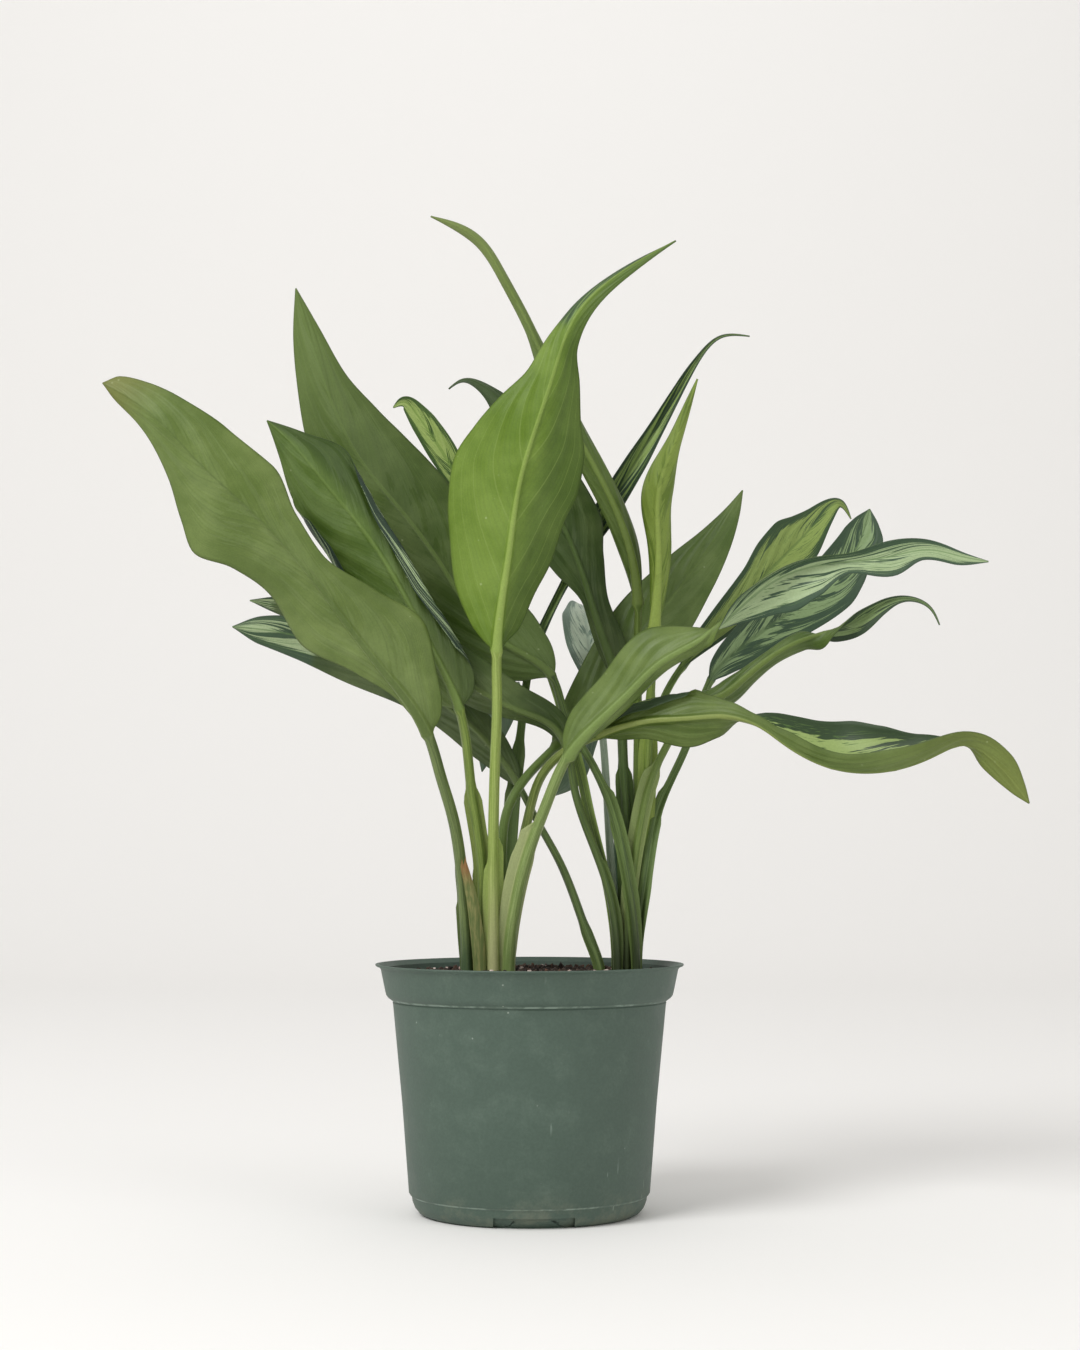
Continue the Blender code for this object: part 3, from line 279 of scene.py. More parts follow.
                 [(0.06, 8), (0.14, 10), (0.24, 8), (0.33, 7), (0.45, 8), (0.55, 8), (0.65, 8), (0.75, 4),
                  (0.85, 1.5)])),
    "leaf_low_right": dict(
        hole=(-11, -0.5), radii=(2.6, 2.2), sheath=(0.3, 0.5), root_roll=180,
        stalk=[(-8, 2, 165), (-1, 4, 195), (6, 2, 217), (21, -8, 231)],
        blade=[(35, -17, 237, 180, 20, 20), (58, -27, 243, 180, 20, 20), (75, -32, 244, 180, 20, 20),
               (91, -36, 245, 180, 25, 25), (101, -38.5, 244.5, 145, 35, 50), (112, -41.5, 240.5, 108, 55, 70),
               (125, -45, 231, 98, 55, 70), (149, -51, 219, 96, 55, 70), (172, -56, 218, 95, 55, 70),
               (194, -60, 225, 95, 45, 55), (209, -62, 230, 110, 25, 25), (221, -64, 223, 150, 15, 15),
               (238, -66, 202, 170, 5, 5)],
        margins=([(0.05, 8), (0.1, 11), (0.2, 14), (0.25, 12), (0.29, 7.5), (0.34, 4), (0.38, 4), (0.43, 7),
                  (0.55, 9.5), (0.65, 12), (0.75, 10.5), (0.82, 8.5), (0.9, 8), (0.96, 4)],
                 [(0.05, 7), (0.1, 9), (0.2, 15), (0.27, 11), (0.33, 9), (0.38, 16), (0.43, 22), (0.55, 30),
                  (0.65, 26), (0.75, 16), (0.82, 9), (0.9, 7), (0.96, 4)])),
    "leaf_mid_green": dict(
        hole=(-17.5, -1.2), radii=(2.6, 2.3), sheath=(0.3, 0.5), root_roll=180,
        stalk=[(-14, -2, 170), (-11, -1, 200), (-2, 4, 216)],
        blade=[(13, 15, 232, 180, 30, 30), (36, 23, 262, 180, 20, 20), (62, 30, 296, 180, 15, 15),
               (83, 34, 323, 180, 15, 15), (97, 36, 343, 180, 15, 15), (111, 38, 367, 180, 10, 10)],
        margins=([(0.03, 6), (0.08, 10), (0.22, 15), (0.48, 20), (0.69, 15), (0.83, 8), (0.93, 3)],
                 [(0.03, 6), (0.08, 10), (0.22, 16), (0.48, 20), (0.69, 15), (0.83, 10), (0.93, 5)])),
    "leaf_back_silver": dict(
        hole=(43.8, 5.6), radii=(2.2, 1.8), sheath=(0.3, 0.5), root_roll=90, facing=SIDE,
        stalk=[(41, 11, 175), (39, 21, 215), (37, 33, 244)],
        blade=[(35, 42, 260, 90, 20, 20), (32, 62, 283, 90, 20, 20), (30, 83, 301, 90, 20, 20),
               (30, 106, 312, 90, 20, 20), (32, 128, 314, 90, 10, 10)],
        margins=([(0.08, 6), (0.25, 12), (0.5, 14), (0.75, 10), (0.9, 5)],
                 [(0.08, 6), (0.25, 12), (0.5, 14), (0.75, 10), (0.9, 5)])),
    "leaf_back_drooping": dict(
        hole=(48.4, 13.2), radii=(2.2, 1.8), sheath=(0.3, 0.5), root_roll=90, facing=SIDE,
        stalk=[(45, 22, 175), (47, 36, 216), (46, 55, 250)],
        blade=[(41, 70, 259, 90, 20, 20), (36, 95, 252, 90, 20, 20), (29, 115, 234, 90, 20, 20),
               (21, 130, 216, 90, 10, 10), (11, 138, 209, 90, 10, 10)],
        margins=([(0.08, 4), (0.25, 6), (0.5, 7), (0.75, 7), (0.9, 4)],
                 [(0.08, 4), (0.25, 6), (0.5, 7), (0.75, 7), (0.9, 4)])),
    "leaf_back_left": dict(
        hole=(-22, 6), radii=(2.6, 1.8), sheath=(0.3, 0.5), root_roll=90, facing=SIDE,
        stalk=[(-19, 14, 170), (-18, 30, 216), (-17, 50, 250)],
        blade=[(-16, 62, 261, 90, 20, 20), (-16, 85, 266, 90, 20, 20), (-19, 108, 253, 90, 20, 20),
               (-24, 125, 235, 90, 10, 10), (-27, 132, 223, 90, 10, 10)],
        margins=([(0.08, 6), (0.25, 11), (0.5, 13), (0.75, 8), (0.9, 4)],
                 [(0.08, 6), (0.25, 11), (0.5, 13), (0.75, 8), (0.9, 4)])),
}


# How each leaf looks: screen colours of the underside, its tip and its midrib, and of the upper face's
# dark, middle and pale patches; pale_share is the share of pale patches, wave the margin's waves as
# height, count and start, curls the strips of margin that roll over, as side, places, widths and
# degrees, shown the parts turned over at a twist, and wings the sheath's flaps, as side, end and width.
GREEN = dict(under="546d29", rib="74893f", dark="33482c", middle="55703a", pale="a3b583", pale_share=0.5)
# Painted shade: the foot of the stalk is darkened near the soil, where the clump shades it.
PAINTED_SHADE_FOOT = dict(foot="222c16", foot_blend=0.85, foot_to=-0.55)
LOOKS = {
    "leaf_far_left": dict(GREEN, under="667a38", veins=0.16, spot=(-185.5, -61, 405.5, 2.6, "a8571c"), rib="4d6028", wave=(1.6, 2.5, 0.4), rib_mm=1.3, rib_strength=0.7,
                          tip="78702c", tip_from=0.86, tip_blend=0.5, stalk="55663a", stalk_light="7a8b50",
                          foot="3a5238", foot_blend=0.8, wings=((1, 0.3, 1.2), (-1, 0.3, 1.2))),
    "leaf_tall_left": dict(GREEN, under="465c20", rib="6a8040", base="637a3e", base_to=0.2, tip="627638", tip_from=0.35, tip_blend=0.8,
                           wave=(1.0, 2.0, 1.0), stalk="41552a", wings=((-1, 0.6, 2.0), (1, 0.5, 1.0)), **PAINTED_SHADE_FOOT),
    "leaf_curled_left": dict(GREEN, under="4f6a20", rib="70883f", wave=(0.8, 2.0, 2.0), dark="2a3c2e", middle="44603f",
                             pale="a5b98c", pale_share=0.5, dash_count=8.0, dark_margin=0.12, base="6c8045", base_to=0.5,
                             # Painted shade: one half of this blade is darkened, given as side and strength.
                             painted_shade_half=(-1, 0.6), stalk="61782f", stalk_light="8da04e",
                             sheath_light="9aab5e", wings=((-1, 0.5, 2.2), (1, 0.4, 0.8)),
                             curls=((-1, ((0.08, 0, 120), (0.16, 3.5, 170), (0.36, 6, 176), (0.56, 5, 176), (0.7, 2.5, 165),
                                          (0.82, 0, 60))),
                                    (1, ((0.38, 0, 60), (0.48, 3, 165), (0.6, 5, 176), (0.7, 3, 165), (0.78, 0, 60))))),
    "leaf_hidden_left": dict(GREEN, under="3f541f", rib="5f7238", wave=(0.8, 2.0, 0.0), stalk="41552a",
                             shown=((0, (0.93, 1.1), (-1, 2)),), wings=((-1, 0.5, 1.4),), **PAINTED_SHADE_FOOT),
    "leaf_low_left": dict(GREEN, under="485c2e", rib="66793f", wave=(0.8, 2.0, 0.5), dark="3a5238", middle="5d7a48",
                          pale="a3b58a", pale_share=0.55, dash_count=7.0, shown=((0, (0.74, 1.1), (-1, 2)),),
                          stalk="44582c"),
    # Painted shade on the centre leaf: one half of its blade is darkened, given as side and strength.
    "leaf_centre": dict(GREEN, under="67841c", rib="93a955", wave=(1.4, 2.5, 1.3), veins=0.3, painted_shade_half=(-1, 0.6), rib_mm=1.9,
                        shown=((1, (0.71, 1.1), (0.15, 2)),), dark="38502c", middle="566f38", pale="6f8a48",
                        tip="5a7330", tip_from=0.6, tip_blend=0.7, stalk="7f9440", stalk_light="a3b465",
                        foot="b3b384", foot_blend=0.8, foot_to=-0.6, wings=((1, 0.35, 2.0), (-1, 0.42, 2.4))),
    "leaf_top_thin": dict(GREEN, under="526a20", rib="75893f", tip="7b8a4c", tip_from=0.5, tip_blend=0.8,
                          wave=(0.4, 2.0, 0.0), wings=((-1, 0.5, 1.4), (1, 0.5, 1.4)), **PAINTED_SHADE_FOOT),
    # Painted shade: all of this leaf's colours are set darker for the shade it hangs in.
    "leaf_hooked": dict(GREEN, under="3a5019", rib="4f662c", tip="3a4c30", tip_from=0.6, tip_blend=0.8, wave=(1.0, 2.0, 0.3),
                        stalk="3c4f26", wings=((-1, 0.72, 2.0), (1, 0.72, 2.0)), **PAINTED_SHADE_FOOT),
    "leaf_small_mottled": dict(GREEN, under="6f8a38", rib="8da552", dark="3f5a2a", middle="6d8a3a", pale="9bb064",
                               pale_share=0.8, dash_count=8.0, stalk="54693a", **PAINTED_SHADE_FOOT),
    "leaf_new_rolled": dict(GREEN, under="67801f", rib="92a64e", dark="3f5a24", pale="93a84c", pale_share=0.6, ghost=0.5,
                            stalk="5f7730", stalk_light="8da04e", wings=((-1, 0.8, 1.8), (1, 0.8, 1.8)), **PAINTED_SHADE_FOOT),
    "leaf_narrow_dark": dict(GREEN, under="42582c", rib="5f753c", dark="2e4230", middle="4c6432", pale="8da55c",
                             pale_share=0.5, dash_count=6.0, stalk="4f6632", wings=((-1, 0.6, 1.0),)),
    "leaf_right_twisted": dict(GREEN, under="5a7028", rib="788f4a", wave=(0.8, 3.0, 0.2), dark="38503a", middle="5d7a48",
                               pale="a0b488", pale_share=0.9, rib_mm=1.4, stalk="6a8040", stalk_light="8fa162",
                               sheath_light="b3b986", wings=((1, 0.66, 4.2),), foot="4f6632", foot_blend=0.4),
    "leaf_back_right_light": dict(GREEN, under="546d29", rib="78904a", dark="36502f", middle="5f7a3c", pale="8ea356",
                                  pale_share=0.85, dash_count=8.0, **PAINTED_SHADE_FOOT),
    "leaf_back_right_dark": dict(GREEN, under="48602f", rib="6f864a", dark="334a34", middle="4d653c", pale="7f9668",
                                 pale_share=0.55, dash_count=6.0, stalk="48602f", wings=((-1, 0.6, 1.5), (1, 0.5, 1.0)),
                                 **PAINTED_SHADE_FOOT),
    "leaf_right_long_tip": dict(GREEN, under="4a621f", rib="72863f", dark="34482f", middle="4f6638", pale="7f9660",
                                pale_share=0.45, stalk="5a7034", wings=((-1, 0.75, 1.0), (1, 0.75, 2.4)),
                                sheath_light="98a86a", **PAINTED_SHADE_FOOT),
    "leaf_low_right": dict(GREEN, under="556a26", rib="8d9a52", tip="6f7a36", tip_from=0.6, tip_blend=0.9,
                           wave=(0.5, 2.0, 2.2), dark="324729", middle="5d7a3a", pale="9bb06a", pale_share=0.65,
                           rib_mm=1.2, curls=((1, ((0.0, 0, 0), (0.04, 4, 160), (0.12, 6, 172), (0.2, 3, 160),
                                                   (0.24, 0, 0))),)),
    "leaf_mid_green": dict(GREEN, under="5c7433", rib="6b8240", wave=(0.8, 1.5, 0.0)),
    "leaf_back_silver": dict(GREEN, under="93a48e", rib="a9b8a4", dark="6a8070", middle="8ea08e", pale="b4c2ac",
                             pale_share=0.8, wave=(1.5, 3.0, 0.0)),
    "leaf_back_drooping": dict(GREEN, under="48604a", rib="5f7860", dark="3a5044", middle="4f6a55", pale="8ba08c"),
    "leaf_back_left": dict(GREEN, under="4f6650", rib="647c66", dark="3a5044", middle="4f6a55", pale="8ba08c",
                           pale_share=0.6),
}


def through(knots, values, at):
    """A smooth curve through every value: a natural cubic spline, read at the places given."""
    knots = np.asarray(knots, float)
    values = np.asarray(values, float)
    count = len(knots)
    step = np.diff(knots)[:, None]
    slope = np.diff(values, axis=0) / step
    matrix = np.eye(count)
    bend = np.zeros_like(values)
    for i in range(1, count - 1):
        matrix[i, i - 1] = step[i - 1, 0]
        matrix[i, i] = 2 * (step[i - 1, 0] + step[i, 0])
        matrix[i, i + 1] = step[i, 0]
        bend[i] = 6 * (slope[i] - slope[i - 1])
    bend = np.linalg.solve(matrix, bend)
    i = np.clip(np.searchsorted(knots, at) - 1, 0, count - 2)
    past = (at - knots[i])[:, None]
    left = (knots[i + 1] - at)[:, None]
    step = step[i]
    curved = (bend[i] * left**3 + bend[i + 1] * past**3) / (6 * step)
    return (curved + (values[i] / step - bend[i] * step / 6) * left
            + (values[i + 1] / step - bend[i + 1] * step / 6) * past)


def eased(knots, values, at):
    """A smooth curve through every value that never passes beyond its neighbours."""
    knots = np.asarray(knots, float)
    values = np.asarray(values, float)
    step = np.diff(knots)
    slope = np.diff(values) / step
    tangent = np.concatenate([slope[:1], np.zeros(len(step) - 1), slope[-1:]])
    for i in range(1, len(step)):
        if slope[i - 1] * slope[i] > 0:
            tangent[i] = 2 * slope[i - 1] * slope[i] / (slope[i - 1] + slope[i])
    i = np.clip(np.searchsorted(knots, at) - 1, 0, len(step) - 1)
    t = (at - knots[i]) / step[i]
    return (values[i] * (1 + 2 * t) * (1 - t)**2 + step[i] * tangent[i] * t * (1 - t)**2
            + values[i + 1] * t * t * (3 - 2 * t) + step[i] * tangent[i + 1] * t * t * (t - 1))


def unit(vectors):
    return vectors / np.linalg.norm(vectors, axis=-1, keepdims=True)


def unit(vectors):
    return vectors / np.linalg.norm(vectors, axis=-1, keepdims=True)


def smooth(low, high, value):
    """0 below low, 1 above high and a smooth step between."""
    t = np.clip((value - low) / (high - low), 0, 1)
    return t * t * (3 - 2 * t)


def vein_phase(place, share, seed):
    """A number that is whole along each side vein; the veins leave the midrib and arch to the tip."""
    sway = 0.10 * np.sin(9 * place + seed) * share
    return VEIN_COUNT * (place + VEIN_ARCH * np.log(1 - 0.93 * share)) + sway * VEIN_COUNT * 0.3


def column_shares(half):
    """Shares of the half width at which a row has points: close together near the midrib."""
    near = RIB_STEP * np.arange(RIB_COLUMNS) * min(1, half / 10)
    rest = np.linspace(near[-1], half, HALF_COLUMNS - RIB_COLUMNS + 1)[1:]
    return np.concatenate([near, rest]) / half


def leaf_grids(leaf, look, sizes):
    """Upper and lower faces of one leaf as matching grids of points, with what the material reads there."""
    thick = sizes.blade_thickness / MM
    relief = sizes.vein_relief / MM
    x, y = leaf["hole"]
    foot = leaf.get("foot", CANE_TOP_Z) + GAP
    stalk = np.array([(x, y, foot), (x, y, SOIL_MIDDLE_Z + 1)] + leaf["stalk"], float)
    blade = np.array(leaf["blade"], float)
    route = np.vstack([stalk, blade[:, :3]])
    knots = np.concatenate([[0], np.cumsum(np.linalg.norm(np.diff(route, axis=0), axis=1))])
    base = knots[len(stalk)]
    length = knots[-1] - base
    even = np.linspace(0, 1, BLADE_ROWS)
    crowded = 0.6 * even + 0.2 * (1 - np.cos(np.pi * even))
    at = np.concatenate([np.linspace(0, base, STALK_ROWS + 1)[:-1], base + length * crowded])
    centre = through(knots, route, at)
    place = (at - base) / length
    on_blade = place > -1e-9
    blade_place = np.clip(place, 0, 1)

    turned = np.concatenate([[0], knots[len(stalk):]])
    roll = np.radians(eased(turned, np.concatenate([[leaf["root_roll"]], blade[:, 3]]), at))
    lifts = [np.radians(eased(turned, np.concatenate([[0], blade[:, 4 + i]]), at)) for i in (0, 1)]
    along = unit(np.gradient(centre, axis=0))
    along[0] = (0, 0, 1)
    side = unit(np.cross(along, np.array(leaf.get("facing", FRONT))))
    face = np.cross(side, along)
    across = np.cos(roll)[:, None] * side + np.sin(roll)[:, None] * face
    normal = np.cos(roll)[:, None] * face - np.sin(roll)[:, None] * side

    foot_radius, top_radius = leaf["radii"]
    up_stalk = np.clip(at / base, 0, 1)
    core = foot_radius + (top_radius - foot_radius) * up_stalk
    sheath_end, sheath_width = leaf["sheath"]
    wing = sheath_width * np.sqrt(np.clip(up_stalk / sheath_end, 0, 1)) * (1 - smooth(-0.05, 0.015, up_stalk - sheath_end))
    stalk_half = core + wing * smooth(0.05, 0.14, up_stalk)
    halves = []
    for margin in leaf["margins"]:
        places, widths = zip(*margin)
        blade_half = eased((0, *places, 1), (top_radius, *widths, 0.35), blade_place)
        halves.append(np.where(on_blade, blade_half, stalk_half))

    wave_height, wave_count, wave_start = look.get("wave", (0.4, 2.0, 0.0))
    wave_height *= sizes.margin_wave
    seed = look["seed"]
    fine = np.linspace(0, 1, 65)
    upper, lower, where, marks = [], [], [], []
    for i in range(len(at)):
        over, under, spots, labels = [], [], [], []
        t = blade_place[i]
        for n, sign in ((1, -1), (0, 1)):
            reach = halves[n][i]
            for wing_side, wing_end, wing_width in look.get("wings", ()):
                if wing_side == sign and not on_blade[i]:
                    rise = math.sqrt(min(1, up_stalk[i] / (0.6 * wing_end)))
                    reach = reach + wing_width * rise * (1 - smooth(-0.03, 0.01, up_stalk[i] - wing_end))
            lift = lifts[n][i] * on_blade[i]
            share = column_shares(reach)
            slope = lift * (LIFT_AT_RIB + LIFT_ADDED * fine)
            for curl_side, stations in look.get("curls", ()):
                if curl_side == sign and on_blade[i]:
                    places, strips, degrees = (np.array(v, float) for v in zip(*stations))
                    strip = np.interp(t, places, strips)
                    angle = math.radians(np.interp(t, places, degrees))
                    if strip > 0.05:
                        fold = min(FOLD_ARC, strip)
                        reach = reach + strip + 0.3 * fold
                        share = column_shares(reach)
                        slope = slope - angle * smooth(reach - strip - fold, reach - strip, fine * reach)
            run = np.concatenate([[0], np.cumsum(np.cos(slope[1:]) + np.cos(slope[:-1]))]) / 128
            rise = np.concatenate([[0], np.cumsum(np.sin(slope[1:]) + np.sin(slope[:-1]))]) / 128
            tilt = np.interp(share, fine, slope)
            out = sign * reach * np.interp(share, fine, run)
            high = reach * np.interp(share, fine, rise)
            from_rib = share * reach
            phase = vein_phase(t, share, seed)
            sheet = thick * (1 - 0.55 * share**4)
            if on_blade[i]:
                if share[-1] > 0 and look.get("curls"):
                    phase = vein_phase(t, np.minimum(share, 0.98), seed)
                fade = min(1, reach / 18) * smooth(0, 0.06, t) * (1 - smooth(0.9, 1, t))
                pillow = relief * np.sin(np.pi * phase)**2 * 4 * share * (1 - share) * fade
                ends = math.sin(math.pi * min(1, max(0, t)))**0.7
                wave = wave_height * share**2.5 * math.sin(2 * math.pi * wave_count * t + wave_start + 1.9 * sign) * ends
                high = high + pillow + wave
                rib_half = 0.3 + (top_radius - 0.3) * (1 - t)**1.6
                rib = 1.5 * rib_half * np.sqrt(np.clip(1 - (from_rib / rib_half)**2, 0, 1)) * (1 - 0.5 * t)
                vein = 0.28 * relief * np.exp(-((phase - np.round(phase)) / 0.04)**2) * (1 - share) * fade
                deep = sheet + rib + vein
                groove = 0.35 * np.exp(-(from_rib / 1.1)**2) * (1 - t)
            else:
                deep = sheet + 1.5 * core[i] * np.sqrt(np.clip(1 - (from_rib / core[i])**2, 0, 1))
                groove = 0.35 * core[i] * np.exp(-(from_rib / (0.5 * core[i]))**2) * smooth(0.02, 0.1, up_stalk[i])
            up_x = out - sign * np.sin(tilt) * (sheet / 2 - groove)
            up_n = high + np.cos(tilt) * (sheet / 2 - groove)
            low_x = out + sign * np.sin(tilt) * (deep - sheet / 2)
            low_n = high - np.cos(tilt) * (deep - sheet / 2)
            sheath = smooth(-0.6, 0.2, from_rib - core[i]) * (not on_blade[i])
            spot = np.stack([np.full_like(share, place[i] if on_blade[i] else up_stalk[i] - 1), sign * share,
                             np.full_like(share, reach)], axis=1)
            turned_over = np.zeros_like(share)
            for shown_side, places, shares in look.get("shown", ()):
                if on_blade[i] and shown_side in (0, sign):
                    lap = 0.012
                    turned_over = np.maximum(turned_over, (1 - smooth(-lap, lap, abs(t - sum(places) / 2)
                                                                     - (places[1] - places[0]) / 2))
                                             * smooth(-0.04, 0.04, share - shares[0]) * (1 - smooth(-0.04, 0.04, share - shares[1])))
            label = np.stack([phase, sheath, turned_over], axis=1)
            rows = ((over, up_x, up_n), (under, low_x, low_n))
            for row, x_part, n_part in rows:
                points = centre[i] + x_part[:, None] * across[i] + n_part[:, None] * normal[i]
                row.extend(points[:0:-1] if sign < 0 else points)
            spots.extend(spot[:0:-1] if sign < 0 else spot)
            labels.extend(label[:0:-1] if sign < 0 else label)
        upper.append(over)
        lower.append(under)
        where.append(spots)
        marks.append(labels)
    return np.array(upper), np.array(lower), np.array(where), np.array(marks)


def sheet_faces(rows, columns):
    """Quads of a closed sheet between an upper and a lower grid of points."""
    i, j = np.meshgrid(np.arange(rows - 1), np.arange(columns - 1), indexing="ij")
    a = (i * columns + j).ravel()
    low = rows * columns
    quads = [np.stack([a, a + 1, a + columns + 1, a + columns], axis=1),
             low + np.stack([a, a + columns, a + columns + 1, a + 1], axis=1)]
    left = np.arange(rows - 1) * columns
    right = left + columns - 1
    quads.append(np.stack([left, left + columns, low + left + columns, low + left], axis=1))
    quads.append(np.stack([low + right, low + right + columns, right + columns, right], axis=1))
    bottom = np.arange(columns - 1)
    top = (rows - 1) * columns + bottom
    quads.append(np.stack([low + bottom, low + bottom + 1, bottom + 1, bottom], axis=1))
    quads.append(np.stack([top, top + 1, low + top + 1, low + top], axis=1))
    return np.concatenate(quads)


def new_piece(name, points, faces, slot, replaced=()):
    """A piece of the plant from points in millimetres, riding on the pot's body."""
    mesh = bpy.data.meshes.new(name)
    mesh.from_pydata((np.asarray(points, float) * MM).tolist(), [], np.asarray(faces).tolist()
                     if isinstance(faces, np.ndarray) else faces)
    mesh.validate()
    piece = bpy.data.objects.new(name, mesh)
    bpy.context.scene.collection.objects.link(piece)
    return settle(piece, replaced)


def settle(piece, replaced=()):
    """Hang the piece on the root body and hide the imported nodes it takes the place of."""
    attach(piece, "root")
    if replaced:
        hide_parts(*replaced)
    return piece


def add_vectors(mesh, name, values):
    """Keep one vector at each point of the mesh for the material to read."""
    attribute = mesh.attributes.new(name, "FLOAT_VECTOR", "POINT")
    attribute.data.foreach_set("vector", np.asarray(values, np.float32).ravel())


def turned_mesh(profile, segments, closed=False):
    """Points and faces of a body turned about Z from radius and height, down its outer side."""
    points = []
    rings = []
    for radius, z in profile:
        if radius == 0:
            rings.append([len(points)] * segments)
            points.append((0, 0, z))
        else:
            rings.append([len(points) + n for n in range(segments)])
            points.extend((radius * math.cos(2 * math.pi * n / segments),
                           radius * math.sin(2 * math.pi * n / segments), z) for n in range(segments))
    faces = []
    pairs = list(zip(rings, rings[1:]))
    if closed:
        pairs.append((rings[-1], rings[0]))
    for high, low in pairs:
        for n in range(segments):
            m = (n + 1) % segments
            corners = [high[n], low[n], low[m], high[m]]
            faces.append([c for k, c in enumerate(corners) if c != corners[k - 1]])
    return points, faces


def chips(name, places, sides, rng):
    """Many small crumbs in one mesh; each place is x, y, z and the three half sizes."""
    built = bmesh.new()
    for x, y, z, sizes in places:
        made = bmesh.ops.create_icosphere(built, subdivisions=sides, radius=1)
        turn = Euler([rng.uniform(0, math.pi) for _ in range(3)]).to_matrix()
        for vert in made["verts"]:
            rough = 1 + rng.uniform(-0.22, 0.22)
            spot = Vector(a * b * rough for a, b in zip(vert.co, sizes))
            vert.co = turn @ spot + Vector((x, y, z))
    bmesh.ops.scale(built, vec=(MM, MM, MM), verts=built.verts)
    mesh = bpy.data.meshes.new(name)
    built.to_mesh(mesh)
    built.free()
    piece = bpy.data.objects.new(name, mesh)
    bpy.context.scene.collection.objects.link(piece)
    return settle(piece)


def plain_object(name, points, faces):
    """An object that only cuts others."""
    mesh = bpy.data.meshes.new(name)
    mesh.from_pydata([tuple(c * MM for c in p) for p in points], [], faces)
    thing = bpy.data.objects.new(name, mesh)
    bpy.context.scene.collection.objects.link(thing)
    return thing


def bake(thing):
    """Apply the modifiers to the mesh."""
    graph = bpy.context.evaluated_depsgraph_get()
    graph.update()
    mesh = bpy.data.meshes.new_from_object(thing.evaluated_get(graph))
    thing.modifiers.clear()
    thing.data = mesh


def cut(thing, operation, cutter):
    modifier = thing.modifiers.new(operation, "BOOLEAN")
    modifier.operation = operation
    modifier.solver = "EXACT"
    modifier.object = cutter
    bake(thing)


def weld(thing):
    """Join points that lie in one place and turn all faces outwards."""
    built = bmesh.new()
    built.from_mesh(thing.data)
    bmesh.ops.remove_doubles(built, verts=built.verts, dist=0.00001)
    bmesh.ops.recalc_face_normals(built, faces=built.faces)
    built.to_mesh(thing.data)
    built.free()


def shade(thing, sharp_above):
    """Smooth shading, but for edges sharper than the angle in degrees."""
    thing.data.shade_smooth()
    if sharp_above < 180:
        thing.data.set_sharp_from_angle(angle=math.radians(sharp_above))


def notch_prisms(name, outline, inner, outer):
    """Prisms that run outwards through the foot, one for each notch, from an outline of x and height."""
    points = []
    faces = []
    sides = len(outline)
    for n in range(NOTCHES):
        turn = 2 * math.pi * n / NOTCHES + math.radians(NOTCH_TURN)
        first = len(points)
        for y in (-inner, -outer):
            points.extend((x * math.cos(turn) - y * math.sin(turn), x * math.sin(turn) + y * math.cos(turn), z)
                          for x, z in outline)
        faces.append(tuple(first + i for i in reversed(range(sides))))
        faces.append(tuple(first + sides + i for i in range(sides)))
        for i in range(sides):
            j = (i + 1) % sides
            faces.append((first + i, first + j, first + sides + j, first + sides + i))
    return plain_object(name, points, faces)


def drums(places, low, high, sides=32):
    """Upright drums as points and faces; each place is the middle's radius and turn, and the drum's radius."""
    points = []
    faces = []
    for out, turn, radius in places:
        x, y = out * math.cos(math.radians(turn)), out * math.sin(math.radians(turn))
        first = len(points)
        for z in (low, high):
            points.extend((x + radius * math.cos(2 * math.pi * n / sides), y + radius * math.sin(2 * math.pi * n / sides), z)
                          for n in range(sides))
        faces.append([first + n for n in reversed(range(sides))])
        faces.append([first + sides + n for n in range(sides)])
        faces.extend([first + n, first + (n + 1) % sides, first + sides + (n + 1) % sides, first + sides + n]
                     for n in range(sides))
    return points, faces


def soil_level(x, y):
    """Height of the soil's crumbly top, lower by the wall, higher towards the middle and a little bumpy."""
    radius = math.hypot(x, y)
    level = SOIL_MIDDLE_Z + (SOIL_EDGE_Z - SOIL_MIDDLE_Z) * (radius / 73)**2
    bumps = noise.fractal(Vector((x, y, 0)) * 0.16, 1.0, 2.0, 4)
    return level + 1.1 * bumps * (1 - (radius / SOIL_RADIUS)**8) + 0.1


def in_clump(x, y, margin):
    return any(((x - a) / (c + margin))**2 + ((y - b) / (d + margin))**2 < 0.45 for a, b, c, d in CANES.values())


def linear(colour):
    """Scene colour from a screen colour given as six hexadecimal digits."""
    levels = [int(colour[i:i + 2], 16) / 255 for i in (0, 2, 4)]
    return (*(c / 12.92 if c <= 0.04045 else ((c + 0.055) / 1.055)**2.4 for c in levels), 1)


def new_material(name):
    """An empty material with its shader; gives the material, its tree and the shader."""
    made = bpy.data.materials.new(name)
    made.use_nodes = True
    return made, made.node_tree, made.node_tree.nodes["Principled BSDF"]


def add(tree, kind, sockets, output=0, **settings):
    """Add a node with its settings, and set or link its sockets; gives one of its outputs."""
    node = tree.nodes.new(kind)
    for name, value in settings.items():
        setattr(node, name, value)
    for socket, value in sockets.items():
        if isinstance(value, bpy.types.NodeSocket):
            tree.links.new(value, node.inputs[socket])
        else:
            node.inputs[socket].default_value = value
    return node.outputs[output]


def maths(tree, operation, *values):
    return add(tree, "ShaderNodeMath", dict(enumerate(values)), operation=operation)


def ramp(tree, value, low, high, first=0.0, last=1.0):
    """A smooth step of a value, from first at low to last at high."""
    return add(tree, "ShaderNodeMapRange", {"Value": value, "From Min": low, "From Max": high, "To Min": first,
                                            "To Max": last}, interpolation_type="SMOOTHSTEP")


